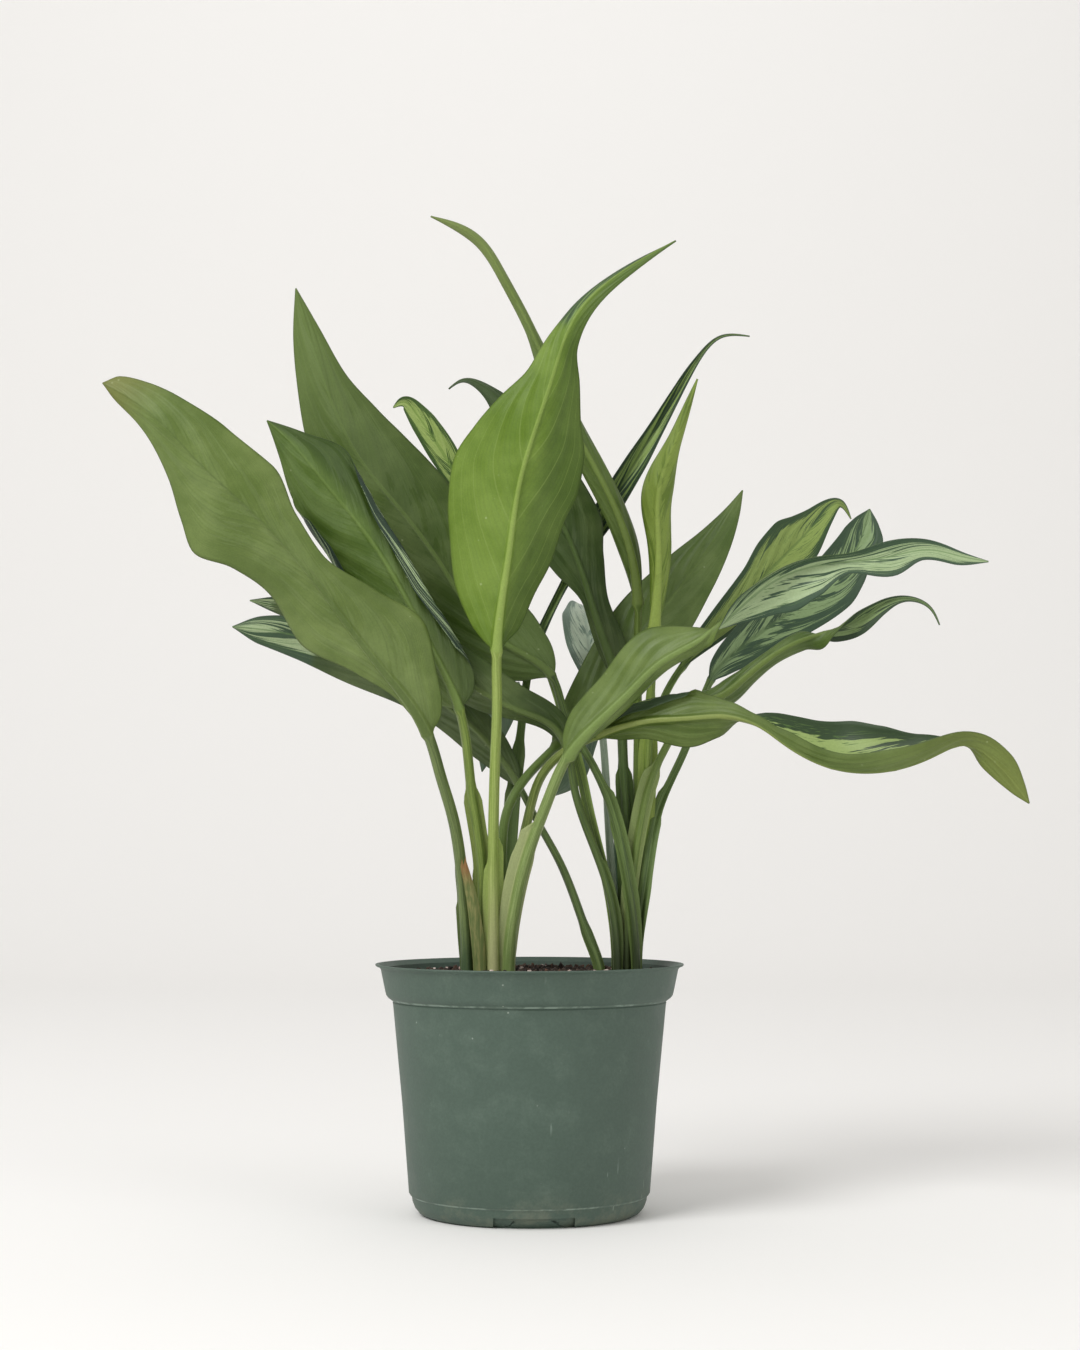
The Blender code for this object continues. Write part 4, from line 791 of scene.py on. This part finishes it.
def blend(tree, factor, first, second, kind="MIX"):
    """Mix two colours; six hexadecimal digits stand for a screen colour."""
    first, second = (linear(c) if isinstance(c, str) else c for c in (first, second))
    return add(tree, "ShaderNodeMix", {0: factor, 6: first, 7: second}, output=2, data_type="RGBA", blend_type=kind)


def speckle(tree, vector, scale, detail=3.0, rough=0.55, output=0):
    return add(tree, "ShaderNodeTexNoise", {"Vector": vector, "Scale": scale, "Detail": detail, "Roughness": rough},
               output=output)


def leaf_material(name, look):
    """Living leaf, grown: a waxy skin over soft tissue, so a broad soft sheen, plain and paler below,
    with dark green, green and silver patches above that follow the side veins."""
    made, tree, shader = new_material(name)
    blade = add(tree, "ShaderNodeAttribute", {}, output=1, attribute_name="blade")
    marks = add(tree, "ShaderNodeAttribute", {}, output=1, attribute_name="marks")
    place, share_signed, half = (add(tree, "ShaderNodeSeparateXYZ", {0: blade}, output=i) for i in range(3))
    phase, sheath, upper = (add(tree, "ShaderNodeSeparateXYZ", {0: marks}, output=i) for i in range(3))
    share = maths(tree, "ABSOLUTE", share_signed)
    from_rib = maths(tree, "MULTIPLY", share, half)
    rest = add(tree, "ShaderNodeTexCoord", {}, output=3)

    # The side veins, and the fine ones between them
    vein = ramp(tree, maths(tree, "PINGPONG", phase, 0.5), 0.0, 0.045, 1.0, 0.0)
    fine = ramp(tree, maths(tree, "PINGPONG", maths(tree, "MULTIPLY", phase, 5.0), 0.5), 0.0, 0.3, 1.0, 0.0)
    rib_width = add(tree, "ShaderNodeMapRange", {"Value": place, "From Min": -0.2, "From Max": 1.0, "To Min": look.get("rib_mm", 2.0),
                                                 "To Max": 0.3})
    rib = ramp(tree, maths(tree, "DIVIDE", from_rib, rib_width), 0.55, 1.15, 1.0, 0.0)
    off_blade = ramp(tree, place, -0.01, 0.0, 1.0, 0.0)

    # Patches of the upper face: big ones from the midrib outwards, with dashes along the side veins
    seed = look["seed"]
    broad = add(tree, "ShaderNodeCombineXYZ", {0: maths(tree, "MULTIPLY", phase, 1.1),
                                               1: maths(tree, "MULTIPLY", share_signed, 1.7), 2: seed})
    narrow = add(tree, "ShaderNodeCombineXYZ", {0: maths(tree, "MULTIPLY", phase, look.get("dash_count", 5.0)),
                                                1: maths(tree, "MULTIPLY", from_rib, 0.16), 2: seed + 5})
    patches = speckle(tree, broad, 1.0, 2.0, 0.5)
    dashes = speckle(tree, narrow, 1.0, 3.0, 0.6)
    jagged = maths(tree, "ADD", patches, maths(tree, "MULTIPLY", maths(tree, "SUBTRACT", dashes, 0.5), 0.75))
    zone = ramp(tree, share, 0.5, 0.98, 0.0, -look.get("dark_margin", 0.42))
    pale_edge = 0.66 - 0.36 * look["pale_share"]
    pale = ramp(tree, maths(tree, "ADD", jagged, zone), pale_edge, pale_edge + 0.04)
    strokes = speckle(tree, narrow, 1.9, 2.0, 0.5)
    dark_dash = ramp(tree, strokes, 0.60, 0.66)
    light_dash = maths(tree, "MULTIPLY", ramp(tree, strokes, 0.36, 0.42, 1.0, 0.0), ramp(tree, share, 0.75, 0.95, 0.8, 0.0))
    top = blend(tree, light_dash, look["dark"], look["middle"])
    top = blend(tree, pale, top, blend(tree, dark_dash, look["pale"], look["middle"]))
    deep_dash = maths(tree, "MULTIPLY", pale, ramp(tree, strokes, 0.665, 0.70))
    top = blend(tree, deep_dash, top, look["dark"])
    top = blend(tree, maths(tree, "MULTIPLY", rib, 0.6), top, look["middle"])

    # The underside: plain and a little cloudy, with the patches above only just showing through
    cloud = speckle(tree, rest, 30.0, 3.0, 0.6)
    grain = speckle(tree, rest, 1100.0, 2.0, 0.5)
    below = blend(tree, ramp(tree, cloud, 0.32, 0.70), blend(tree, 1.0, look["under"], "dfe4d4", "MULTIPLY"),
                  blend(tree, 0.10, look["under"], "b7c48a"))
    if "base" in look:
        below = blend(tree, ramp(tree, place, 0.0, look.get("base_to", 0.3), 0.85, 0.0), below, look["base"])
    # Painted shade: the half of the blade turned away from the light is darkened from the midrib outwards.
    if "painted_shade_half" in look:
        painted_shade_side, amount = look["painted_shade_half"]
        painted_half_shade = ramp(tree, maths(tree, "MULTIPLY", share_signed, painted_shade_side), 0.0, 0.45, 0.0, amount)
        below = blend(tree, painted_half_shade, below, blend(tree, 1.0, below, "7f8f74", "MULTIPLY"))
    tip = ramp(tree, place, look.get("tip_from", 0.55), 1.0)
    below = blend(tree, maths(tree, "MULTIPLY", tip, look.get("tip_blend", 0.0)), below, look.get("tip", look["under"]))
    below = blend(tree, maths(tree, "MULTIPLY", pale, look.get("ghost", 0.06)), below, look["pale"])
    below = blend(tree, maths(tree, "MULTIPLY", vein, look.get("veins", 0.18)), below, look["rib"])
    below = blend(tree, maths(tree, "MULTIPLY", fine, 0.07), below, "2f421c")
    rib_fade = ramp(tree, place, 0.0, 1.0, look.get("rib_strength", 0.75), 0.25)
    below = blend(tree, maths(tree, "MULTIPLY", rib, rib_fade), below, look["rib"])
    edge = ramp(tree, maths(tree, "MULTIPLY", maths(tree, "SUBTRACT", 1.0, share), half), 0.0, 0.9, 0.35, 0.0)
    below = blend(tree, edge, below, "2f421c")
    specks = add(tree, "ShaderNodeTexVoronoi", {"Vector": rest, "Scale": 130.0})
    dots = maths(tree, "MULTIPLY", ramp(tree, specks, 0.045, 0.10, 1.0, 0.0), ramp(tree, cloud, 0.48, 0.6))
    below = blend(tree, maths(tree, "MULTIPLY", dots, 0.35), below, "b4c08f")

    # The stalk: streaked along its length, paler at the sheath's thin edge
    streaks = speckle(tree, add(tree, "ShaderNodeCombineXYZ", {0: maths(tree, "MULTIPLY", place, 3.0),
                                                               1: maths(tree, "MULTIPLY", from_rib, 1.4), 2: share_signed}),
                      2.0, 3.0, 0.6)
    stalk = blend(tree, ramp(tree, streaks, 0.35, 0.7), look.get("stalk", look["under"]), look.get("stalk_light", look["rib"]))
    # Towards the soil the stalk takes its foot colour: a dark foot is painted shade near the soil, and the centre
    # leaf's pale foot is its collar's own colour.
    foot = ramp(tree, place, -1.0, look.get("foot_to", -0.72), look.get("foot_blend", 0.0), 0.0)
    stalk = blend(tree, foot, stalk, look.get("foot", look["rib"]))
    stalk = blend(tree, maths(tree, "MULTIPLY", sheath, 0.6), stalk, look.get("sheath_light", look["rib"]))
    if "spot" in look:
        *spot, spot_radius, spot_colour = look["spot"]
        away = add(tree, "ShaderNodeVectorMath", {0: rest, 1: [c * MM for c in spot]}, output=1, operation="DISTANCE")
        ragged = maths(tree, "ADD", away, maths(tree, "MULTIPLY", speckle(tree, rest, 500.0), 0.002))
        below = blend(tree, ramp(tree, ragged, 0.001, spot_radius * MM + 0.001, 0.85, 0.0), below, spot_colour)
    skin = blend(tree, upper, below, top)
    skin = blend(tree, off_blade, skin, stalk)
    skin = blend(tree, maths(tree, "MULTIPLY", ramp(tree, grain, 0.3, 0.7), 0.10), skin, "1c2b14")

    tree.links.new(skin, shader.inputs["Base Color"])
    tree.links.new(ramp(tree, cloud, 0.3, 0.7, 0.40, 0.52), shader.inputs["Roughness"])
    shader.inputs["IOR"].default_value = 1.40
    height = maths(tree, "ADD", maths(tree, "MULTIPLY", fine, 0.3), maths(tree, "MULTIPLY", grain, 0.4))
    bump = add(tree, "ShaderNodeBump", {"Height": height, "Distance": 0.00025, "Strength": 0.4})
    tree.links.new(bump, shader.inputs["Normal"])
    return made


def pot_material(colours):
    """Polypropylene, injection moulded: a matt eggshell surface, dusty and scratched, with a painted highlight along
    the ledge under the band and the line above the foot.
    """
    made, tree, shader = new_material("moulded polypropylene")
    rest = add(tree, "ShaderNodeTexCoord", {}, output=3)
    height = add(tree, "ShaderNodeSeparateXYZ", {0: rest}, output=2)
    dust = speckle(tree, rest, 60.0, 7.0, 0.72)
    fine = speckle(tree, rest, 800.0, 3.0, 0.6)
    colour = blend(tree, ramp(tree, dust, 0.42, 0.78), tuple(colours.pot) + (1,), tuple(colours.pot_dust) + (1,))
    colour = blend(tree, maths(tree, "MULTIPLY", ramp(tree, fine, 0.3, 0.7), 0.22), colour, "2f3d36")
    # Painted highlight: pale lines along the ledge under the band and the line above the foot, broken up by noise.
    ledges = maths(tree, "ADD", ramp(tree, maths(tree, "ABSOLUTE", maths(tree, "SUBTRACT", height, 0.1055)), 0.0002, 0.0007, 1.0, 0.0),
                   ramp(tree, maths(tree, "ABSOLUTE", maths(tree, "SUBTRACT", height, 0.0096)), 0.0002, 0.0006, 1.0, 0.0))
    ledge_highlight = maths(tree, "MULTIPLY", ledges, ramp(tree, speckle(tree, rest, 130.0, 3.0, 0.6), 0.4, 0.62, 0.15, 0.75))
    colour = blend(tree, ledge_highlight, colour, "93a598")
    stretched = add(tree, "ShaderNodeMapping", {"Vector": rest, "Rotation": (0.0, 0.35, 0.2), "Scale": (1.0, 1.0, 0.1)})
    scratch = maths(tree, "MULTIPLY", ramp(tree, speckle(tree, stretched, 420.0, 2.0, 0.4), 0.70, 0.74),
                    ramp(tree, speckle(tree, rest, 28.0, 2.0, 0.5), 0.55, 0.66))
    colour = blend(tree, maths(tree, "MULTIPLY", scratch, 0.5), colour, "8fa094")
    specks = add(tree, "ShaderNodeTexVoronoi", {"Vector": rest, "Scale": 160.0})
    flecks = maths(tree, "MULTIPLY", ramp(tree, specks, 0.05, 0.11, 1.0, 0.0), ramp(tree, dust, 0.56, 0.62))
    colour = blend(tree, maths(tree, "MULTIPLY", flecks, 0.45), colour, "c4cdc2")
    soiled = maths(tree, "MULTIPLY", ramp(tree, height, 0.0, 0.022, 1.0, 0.0), ramp(tree, dust, 0.45, 0.65))
    colour = blend(tree, maths(tree, "MULTIPLY", soiled, 0.35), colour, "7c7a66")
    tree.links.new(colour, shader.inputs["Base Color"])
    tree.links.new(ramp(tree, dust, 0.3, 0.7, 0.50, 0.66), shader.inputs["Roughness"])
    shader.inputs["IOR"].default_value = 1.49
    bump = add(tree, "ShaderNodeBump", {"Height": fine, "Distance": 0.0002, "Strength": 0.25})
    tree.links.new(bump, shader.inputs["Normal"])
    return made


def soil_material(colours):
    """Peat and bark mix, loose: very dark, crumbly and dull, browner where it has dried."""
    made, tree, shader = new_material("loose peat")
    rest = add(tree, "ShaderNodeTexCoord", {}, output=3)
    crumbs = speckle(tree, rest, 420.0, 6.0, 0.7)
    dry = speckle(tree, rest, 90.0, 3.0, 0.6)
    colour = blend(tree, ramp(tree, crumbs, 0.35, 0.7), "1d1713", tuple(colours.soil) + (1,))
    colour = blend(tree, maths(tree, "MULTIPLY", ramp(tree, dry, 0.5, 0.7), 0.5), colour, "6b5747")
    tree.links.new(colour, shader.inputs["Base Color"])
    shader.inputs["Roughness"].default_value = 0.95
    bump = add(tree, "ShaderNodeBump", {"Height": crumbs, "Distance": 0.0012, "Strength": 0.8})
    tree.links.new(bump, shader.inputs["Normal"])
    return made


def crumb_material(name, dark, light, rough):
    """Broken crumbs, dull and a little uneven in colour from one side to the other."""
    made, tree, shader = new_material(name)
    rest = add(tree, "ShaderNodeTexCoord", {}, output=3)
    cloud = speckle(tree, rest, 240.0, 4.0, 0.6)
    tree.links.new(blend(tree, ramp(tree, cloud, 0.35, 0.68), dark, light), shader.inputs["Base Color"])
    shader.inputs["Roughness"].default_value = rough
    bump = add(tree, "ShaderNodeBump", {"Height": speckle(tree, rest, 900.0, 3.0, 0.6), "Distance": 0.0006, "Strength": 0.7})
    tree.links.new(bump, shader.inputs["Normal"])
    return made


def sheath_material():
    """Dried leaf sheath, papery: brown at the torn end, still green near the soil, with long fibres."""
    made, tree, shader = new_material("dried sheath")
    rest = add(tree, "ShaderNodeTexCoord", {}, output=3)
    height = add(tree, "ShaderNodeSeparateXYZ", {0: rest}, output=2)
    stretched = add(tree, "ShaderNodeMapping", {"Vector": rest, "Scale": (1.0, 1.0, 0.08)})
    fibres = speckle(tree, stretched, 900.0, 3.0, 0.6)
    colour = blend(tree, ramp(tree, height, 0.160, 0.173), "5d6c36", "8a6238")
    colour = blend(tree, maths(tree, "MULTIPLY", ramp(tree, fibres, 0.4, 0.65), 0.45), colour, "a59a62")
    tree.links.new(colour, shader.inputs["Base Color"])
    shader.inputs["Roughness"].default_value = 0.7
    tree.links.new(add(tree, "ShaderNodeBump", {"Height": fibres, "Distance": 0.0005, "Strength": 0.5}), shader.inputs["Normal"])
    return made


class EvergreenSizes(bpy.types.PropertyGroup):
    blade_thickness: FloatProperty(name="Blade thickness", description="Thickness of a leaf blade between its veins",
                                   default=0.00062, min=0.0003, unit="LENGTH")
    vein_relief: FloatProperty(name="Vein relief", description="How far the blade swells between its side veins",
                               default=0.0009, min=0.0, unit="LENGTH")
    margin_wave: FloatProperty(name="Margin wave", description="How strongly the leaf margins wave",
                               default=1.0, min=0.0, subtype="FACTOR")
    crumbs: IntProperty(name="Crumbs", description="Number of crumbs of peat on top of the soil", default=900, min=0)
    perlite: IntProperty(name="Perlite", description="Number of grains of perlite on top of the soil", default=70, min=0)
    bark: IntProperty(name="Bark", description="Number of slivers of bark on top of the soil", default=90, min=0)


class EvergreenColours(bpy.types.PropertyGroup):
    pot: FloatVectorProperty(name="Pot", description="Colour of the moulded pot", subtype="COLOR",
                             default=linear("475a4e")[:3], min=0, max=1)
    pot_dust: FloatVectorProperty(name="Pot dust", description="Colour of the pot where dust lies on it", subtype="COLOR",
                                  default=linear("57695d")[:3], min=0, max=1)
    soil: FloatVectorProperty(name="Soil", description="Colour of the damp soil", subtype="COLOR",
                              default=linear("33261f")[:3], min=0, max=1)
    floor: FloatVectorProperty(name="Floor", description="Colour of the studio floor", subtype="COLOR",
                               default=linear("f8f7f5")[:3], min=0, max=1)


class EVERGREEN_OT_stage(bpy.types.Operator):
    """Make the pale floor, the soft studio light and the camera"""
    bl_idname = "evergreen.stage"
    bl_label = "Stage"

    def execute(self, context):
        scene = context.scene
        colours = scene.evergreen_colours
        profile = [(SWEEP_FRONT, 0)]
        for step in range(25):
            turn = math.radians(90 * step / 24)
            profile.append((SWEEP_RISE + SWEEP_RADIUS * math.sin(turn), SWEEP_RADIUS * (1 - math.cos(turn))))
        profile.append((SWEEP_RISE + SWEEP_RADIUS, SWEEP_TOP))
        mesh = bpy.data.meshes.new("floor")
        mesh.from_pydata([(x, y, z) for y, z in profile for x in (-SWEEP_HALF, SWEEP_HALF)], [],
                         [(2 * i, 2 * i + 1, 2 * i + 3, 2 * i + 2) for i in range(len(profile) - 1)])
        mesh.shade_smooth()
        floor = bpy.data.objects.new("floor", mesh)
        scene.collection.objects.link(floor)
        made, tree, shader = new_material("matt paper sweep")
        shader.inputs["Base Color"].default_value = (*colours.floor, 1)
        shader.inputs["Roughness"].default_value = 0.9
        mesh.materials.append(made)

        world = bpy.data.worlds.new("studio air")
        scene.world = world
        world.use_nodes = True
        back = world.node_tree.nodes["Background"]
        back.inputs["Color"].default_value = linear("f4f2f0")
        back.inputs["Strength"].default_value = ROOM_LIGHT
        for name, spot, aimed, size, watts in LAMPS:
            lamp = bpy.data.lights.new(name, "AREA")
            lamp.shape = "DISK"
            lamp.size = size
            lamp.energy = watts
            holder = bpy.data.objects.new(name, lamp)
            scene.collection.objects.link(holder)
            holder.location = spot
            holder.rotation_euler = (Vector(aimed) - holder.location).to_track_quat("-Z", "Y").to_euler()

        lens = bpy.data.cameras.new("camera")
        lens.lens = CAMERA_LENS
        lens.sensor_width = CAMERA_SENSOR
        lens.clip_end = 20
        camera = bpy.data.objects.new("camera", lens)
        scene.collection.objects.link(camera)
        camera.location = CAMERA_PLACE
        camera.rotation_euler = (math.radians(90 + CAMERA_PITCH), 0, 0)
        scene.camera = camera
        scene.view_settings.view_transform = "Standard"
        return {"FINISHED"}


class EVERGREEN_OT_pot(bpy.types.Operator):
    """Make the moulded nursery pot with its lip, ledge, foot notches and drain holes"""
    bl_idname = "evergreen.pot"
    bl_label = "Pot"

    def execute(self, context):
        foot = [(FOOT_INNER_RADIUS, 0), (FOOT_INNER_RADIUS - 0.6, FLOOR_Z), (PAD_RADIUS + 1, FLOOR_Z), (PAD_RADIUS, 0), (0, 0)]
        profile = [(0, FLOOR_TOP), *POT_INSIDE, *POT_OUTSIDE, *foot]
        pot = new_piece("pot_shell", *turned_mesh(profile, POT_SEGMENTS), "pot", ["pot"])
        ring = plain_object("notch_ring", *turned_mesh([(66, NOTCH_HEIGHT), (66, -2), (51.0, -2), (51.3, 0.4), (53.7, 2.2),
                                                        (55.3, 4.2), (55.7, NOTCH_HEIGHT)][::-1], POT_SEGMENTS, True))
        half = NOTCH_WIDTH / 2
        blocks = notch_prisms("notch_blocks", [(-half, -4), (half, -4), (half, 8), (-half, 8)], 40, 70)
        arch = [(17, -1), (14.4, 0.3), (12.6, 0.9), (11.3, 2.0), (10.4, 3.2), (9.4, 4.1), (8.2, 4.4)]
        arches = notch_prisms("notch_arches", [(-x, z) for x, z in arch] + arch[::-1], 42, 64)
        drains = plain_object("drain_drums", *drums([(DRAIN_CIRCLE, 30 + 60 * n, DRAIN_RADIUS) for n in range(DRAIN_HOLES)],
                                                    FLOOR_Z - 2, FLOOR_TOP + 2))
        cut(ring, "INTERSECT", blocks)
        for cutter in (ring, arches, drains):
            cut(pot, "DIFFERENCE", cutter)
        for cutter in (ring, blocks, arches, drains):
            bpy.data.objects.remove(cutter, do_unlink=True)
        bevel = pot.modifiers.new("moulded edges", "BEVEL")
        bevel.width = 0.25 * MM
        bevel.segments = 2
        bevel.limit_method = "ANGLE"
        bevel.angle_limit = math.radians(50)
        bake(pot)
        shade(pot, 32)
        pot.data.materials.clear()
        pot.data.materials.append(pot_material(context.scene.evergreen_colours))
        return {"FINISHED"}


class EVERGREEN_OT_soil(bpy.types.Operator):
    """Make the soil with its crumbs, perlite and bark"""
    bl_idname = "evergreen.soil"
    bl_label = "Soil"

    def execute(self, context):
        sizes = context.scene.evergreen_sizes
        rng = random.Random(7)
        rings = 40
        segments = 144
        points = []
        for i in range(rings + 1):
            radius = SOIL_RADIUS * i / rings
            for n in range(segments):
                turn = 2 * math.pi * n / segments
                x, y = radius * math.cos(turn), radius * math.sin(turn)
                points.append((x, y, soil_level(x, y)))
        faces = []
        for i in range(rings):
            for n in range(segments):
                m = (n + 1) % segments
                faces.append([i * segments + n, (i + 1) * segments + n, (i + 1) * segments + m, i * segments + m])
        # Down the wall and across the floor, so that the soil is one closed body
        wall = [(radius - 0.35, z) for radius, z in reversed(POT_INSIDE) if z < SOIL_EDGE_Z]
        wall[-1] = (wall[-1][0], FLOOR_TOP + GAP)
        first = rings * segments
        for radius, z in wall:
            last = len(points)
            points.extend((radius * math.cos(2 * math.pi * n / segments), radius * math.sin(2 * math.pi * n / segments), z)
                          for n in range(segments))
            faces.extend([first + n, last + n, last + (n + 1) % segments, first + (n + 1) % segments] for n in range(segments))
            first = last
        faces.append([first + n for n in range(segments)][::-1])
        soil = new_piece("soil_body", points, faces, "soil", ["soil"])
        weld(soil)
        shade(soil, 180)
        soil.data.materials.append(soil_material(context.scene.evergreen_colours))

        kinds = (("peat_crumbs", sizes.crumbs, (0.5, 1.7), (0.8, 1.0), "loose crumbs", "1f1813", "4a3a2f", 0.95),
                 ("perlite_grains", sizes.perlite, (0.9, 2.0), (0.7, 1.0), "expanded perlite", "a58f86", "e2d3ca", 0.85),
                 ("bark_slivers", sizes.bark, (1.2, 3.4), (0.25, 0.5), "composted bark", "1e1612", "5a4030", 0.9))
        for name, count, low_high, flat, finish, dark, light, rough in kinds:
            places = []
            while len(places) < count:
                radius = 71.0 * math.sqrt(rng.random())
                turn = rng.uniform(0, 2 * math.pi)
                x, y = radius * math.cos(turn), radius * math.sin(turn)
                size = rng.uniform(*low_high)
                if radius + size > 71.5 or in_clump(x, y, 0.5):
                    continue
                squeeze = rng.uniform(*flat)
                places.append((x, y, soil_level(x, y) + 0.35 * size * squeeze, (size, size * squeeze, size * squeeze * 1.2)))
            piece = chips(name, places, 1, rng)
            shade(piece, 25)
            piece.data.materials.append(crumb_material(finish, dark, light, rough))
        return {"FINISHED"}


class EVERGREEN_OT_canes(bpy.types.Operator):
    """Give the short canes and the torn sheath their finish and finer shape"""
    bl_idname = "evergreen.canes"
    bl_label = "Canes and old sheath"

    def execute(self, context):
        bark = crumb_material("corky cane", "3f3a24", "7b7147", 0.85)
        for name in CANES:
            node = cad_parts[name]
            node.data.materials.clear()
            node.data.materials.append(bark)
        heights = np.linspace(0, 1, 40)
        rows = np.array(STUB_ROWS)
        front, back = [], []
        columns = np.linspace(-1, 1, 13)
        tear_places = np.linspace(-1, 1, len(STUB_TEAR))
        for u in heights:
            x, y, z, half, bow = (np.interp(u * (len(rows) - 1), np.arange(len(rows)), rows[:, k]) for k in range(5))
            tear = np.interp(columns, tear_places, STUB_TEAR) * smooth(0.8, 1.0, u)
            bowed = y - bow * (1 - columns**2) - 0.25 * np.sin(5 * columns) * u
            rough = 0.4 * np.sin(37 * columns) * smooth(0.9, 1.0, u)
            front.append(np.stack([x + half * columns, bowed - 0.25, z + tear + rough], axis=1))
            back.append(np.stack([x + half * columns, bowed + 0.25, z + tear + rough], axis=1))
        front, back = np.array(front), np.array(back)
        points = np.concatenate([front.reshape(-1, 3), back.reshape(-1, 3)])
        stub = new_piece("torn_sheath", points, sheet_faces(*front.shape[:2]), "old_sheath", ["old_sheath"])
        shade(stub, 50)
        stub.data.materials.append(sheath_material())
        return {"FINISHED"}


def grow_leaves(names, sizes):
    """Make the named leaves, each as one closed sheet with its own material."""
    for name in names:
        look = dict(LOOKS[name], seed=3.7 * list(LEAVES).index(name))
        upper, lower, where, marks = leaf_grids(LEAVES[name], look, sizes)
        points = np.concatenate([upper.reshape(-1, 3), lower.reshape(-1, 3)])
        piece = new_piece(name + "_grown", points, sheet_faces(*upper.shape[:2]), name, [name])
        above = marks.reshape(-1, 3).copy()
        above[:, 2] = 1
        add_vectors(piece.data, "blade", np.concatenate([where.reshape(-1, 3)] * 2))
        add_vectors(piece.data, "marks", np.concatenate([above, marks.reshape(-1, 3)]))
        shade(piece, 180)
        piece.data.materials.append(leaf_material(name.replace("_", " "), look))


class EVERGREEN_OT_left_leaves(bpy.types.Operator):
    """Grow the leaves of the left clump"""
    bl_idname = "evergreen.left_leaves"
    bl_label = "Left leaves"

    def execute(self, context):
        grow_leaves([name for name, leaf in LEAVES.items() if leaf["hole"][0] < 0], context.scene.evergreen_sizes)
        return {"FINISHED"}


class EVERGREEN_OT_right_leaves(bpy.types.Operator):
    """Grow the leaves of the right clump and the lone leaf between the clumps"""
    bl_idname = "evergreen.right_leaves"
    bl_label = "Right leaves"

    def execute(self, context):
        grow_leaves([name for name, leaf in LEAVES.items() if leaf["hole"][0] >= 0], context.scene.evergreen_sizes)
        return {"FINISHED"}


class EVERGREEN_PT_panel(bpy.types.Panel):
    """Lists the pieces of the plant with the sizes and colours to change"""
    bl_idname = "EVERGREEN_PT_panel"
    bl_label = "Potted Chinese Evergreen"
    bl_space_type = "VIEW_3D"
    bl_region_type = "UI"
    bl_category = "Evergreen"

    def draw(self, context):
        for group in (context.scene.evergreen_sizes, context.scene.evergreen_colours):
            for name in type(group).__annotations__:
                self.layout.prop(group, name)
        for operator in OPERATORS:
            self.layout.operator(operator.bl_idname)


OPERATORS = (EVERGREEN_OT_stage, EVERGREEN_OT_pot, EVERGREEN_OT_soil, EVERGREEN_OT_canes, EVERGREEN_OT_left_leaves,
             EVERGREEN_OT_right_leaves)
CLASSES = (EvergreenSizes, EvergreenColours, *OPERATORS, EVERGREEN_PT_panel)


def register():
    for kind in CLASSES:
        bpy.utils.register_class(kind)
    bpy.types.Scene.evergreen_sizes = PointerProperty(type=EvergreenSizes)
    bpy.types.Scene.evergreen_colours = PointerProperty(type=EvergreenColours)


def unregister():
    del bpy.types.Scene.evergreen_colours
    del bpy.types.Scene.evergreen_sizes
    for kind in reversed(CLASSES):
        bpy.utils.unregister_class(kind)


def main():
    register()
    bpy.ops.evergreen.stage()
    bpy.ops.evergreen.pot()
    bpy.ops.evergreen.soil()
    bpy.ops.evergreen.canes()
    bpy.ops.evergreen.left_leaves()
    bpy.ops.evergreen.right_leaves()
    bpy.context.view_layer.update()


if __name__ == "__main__":
    main()
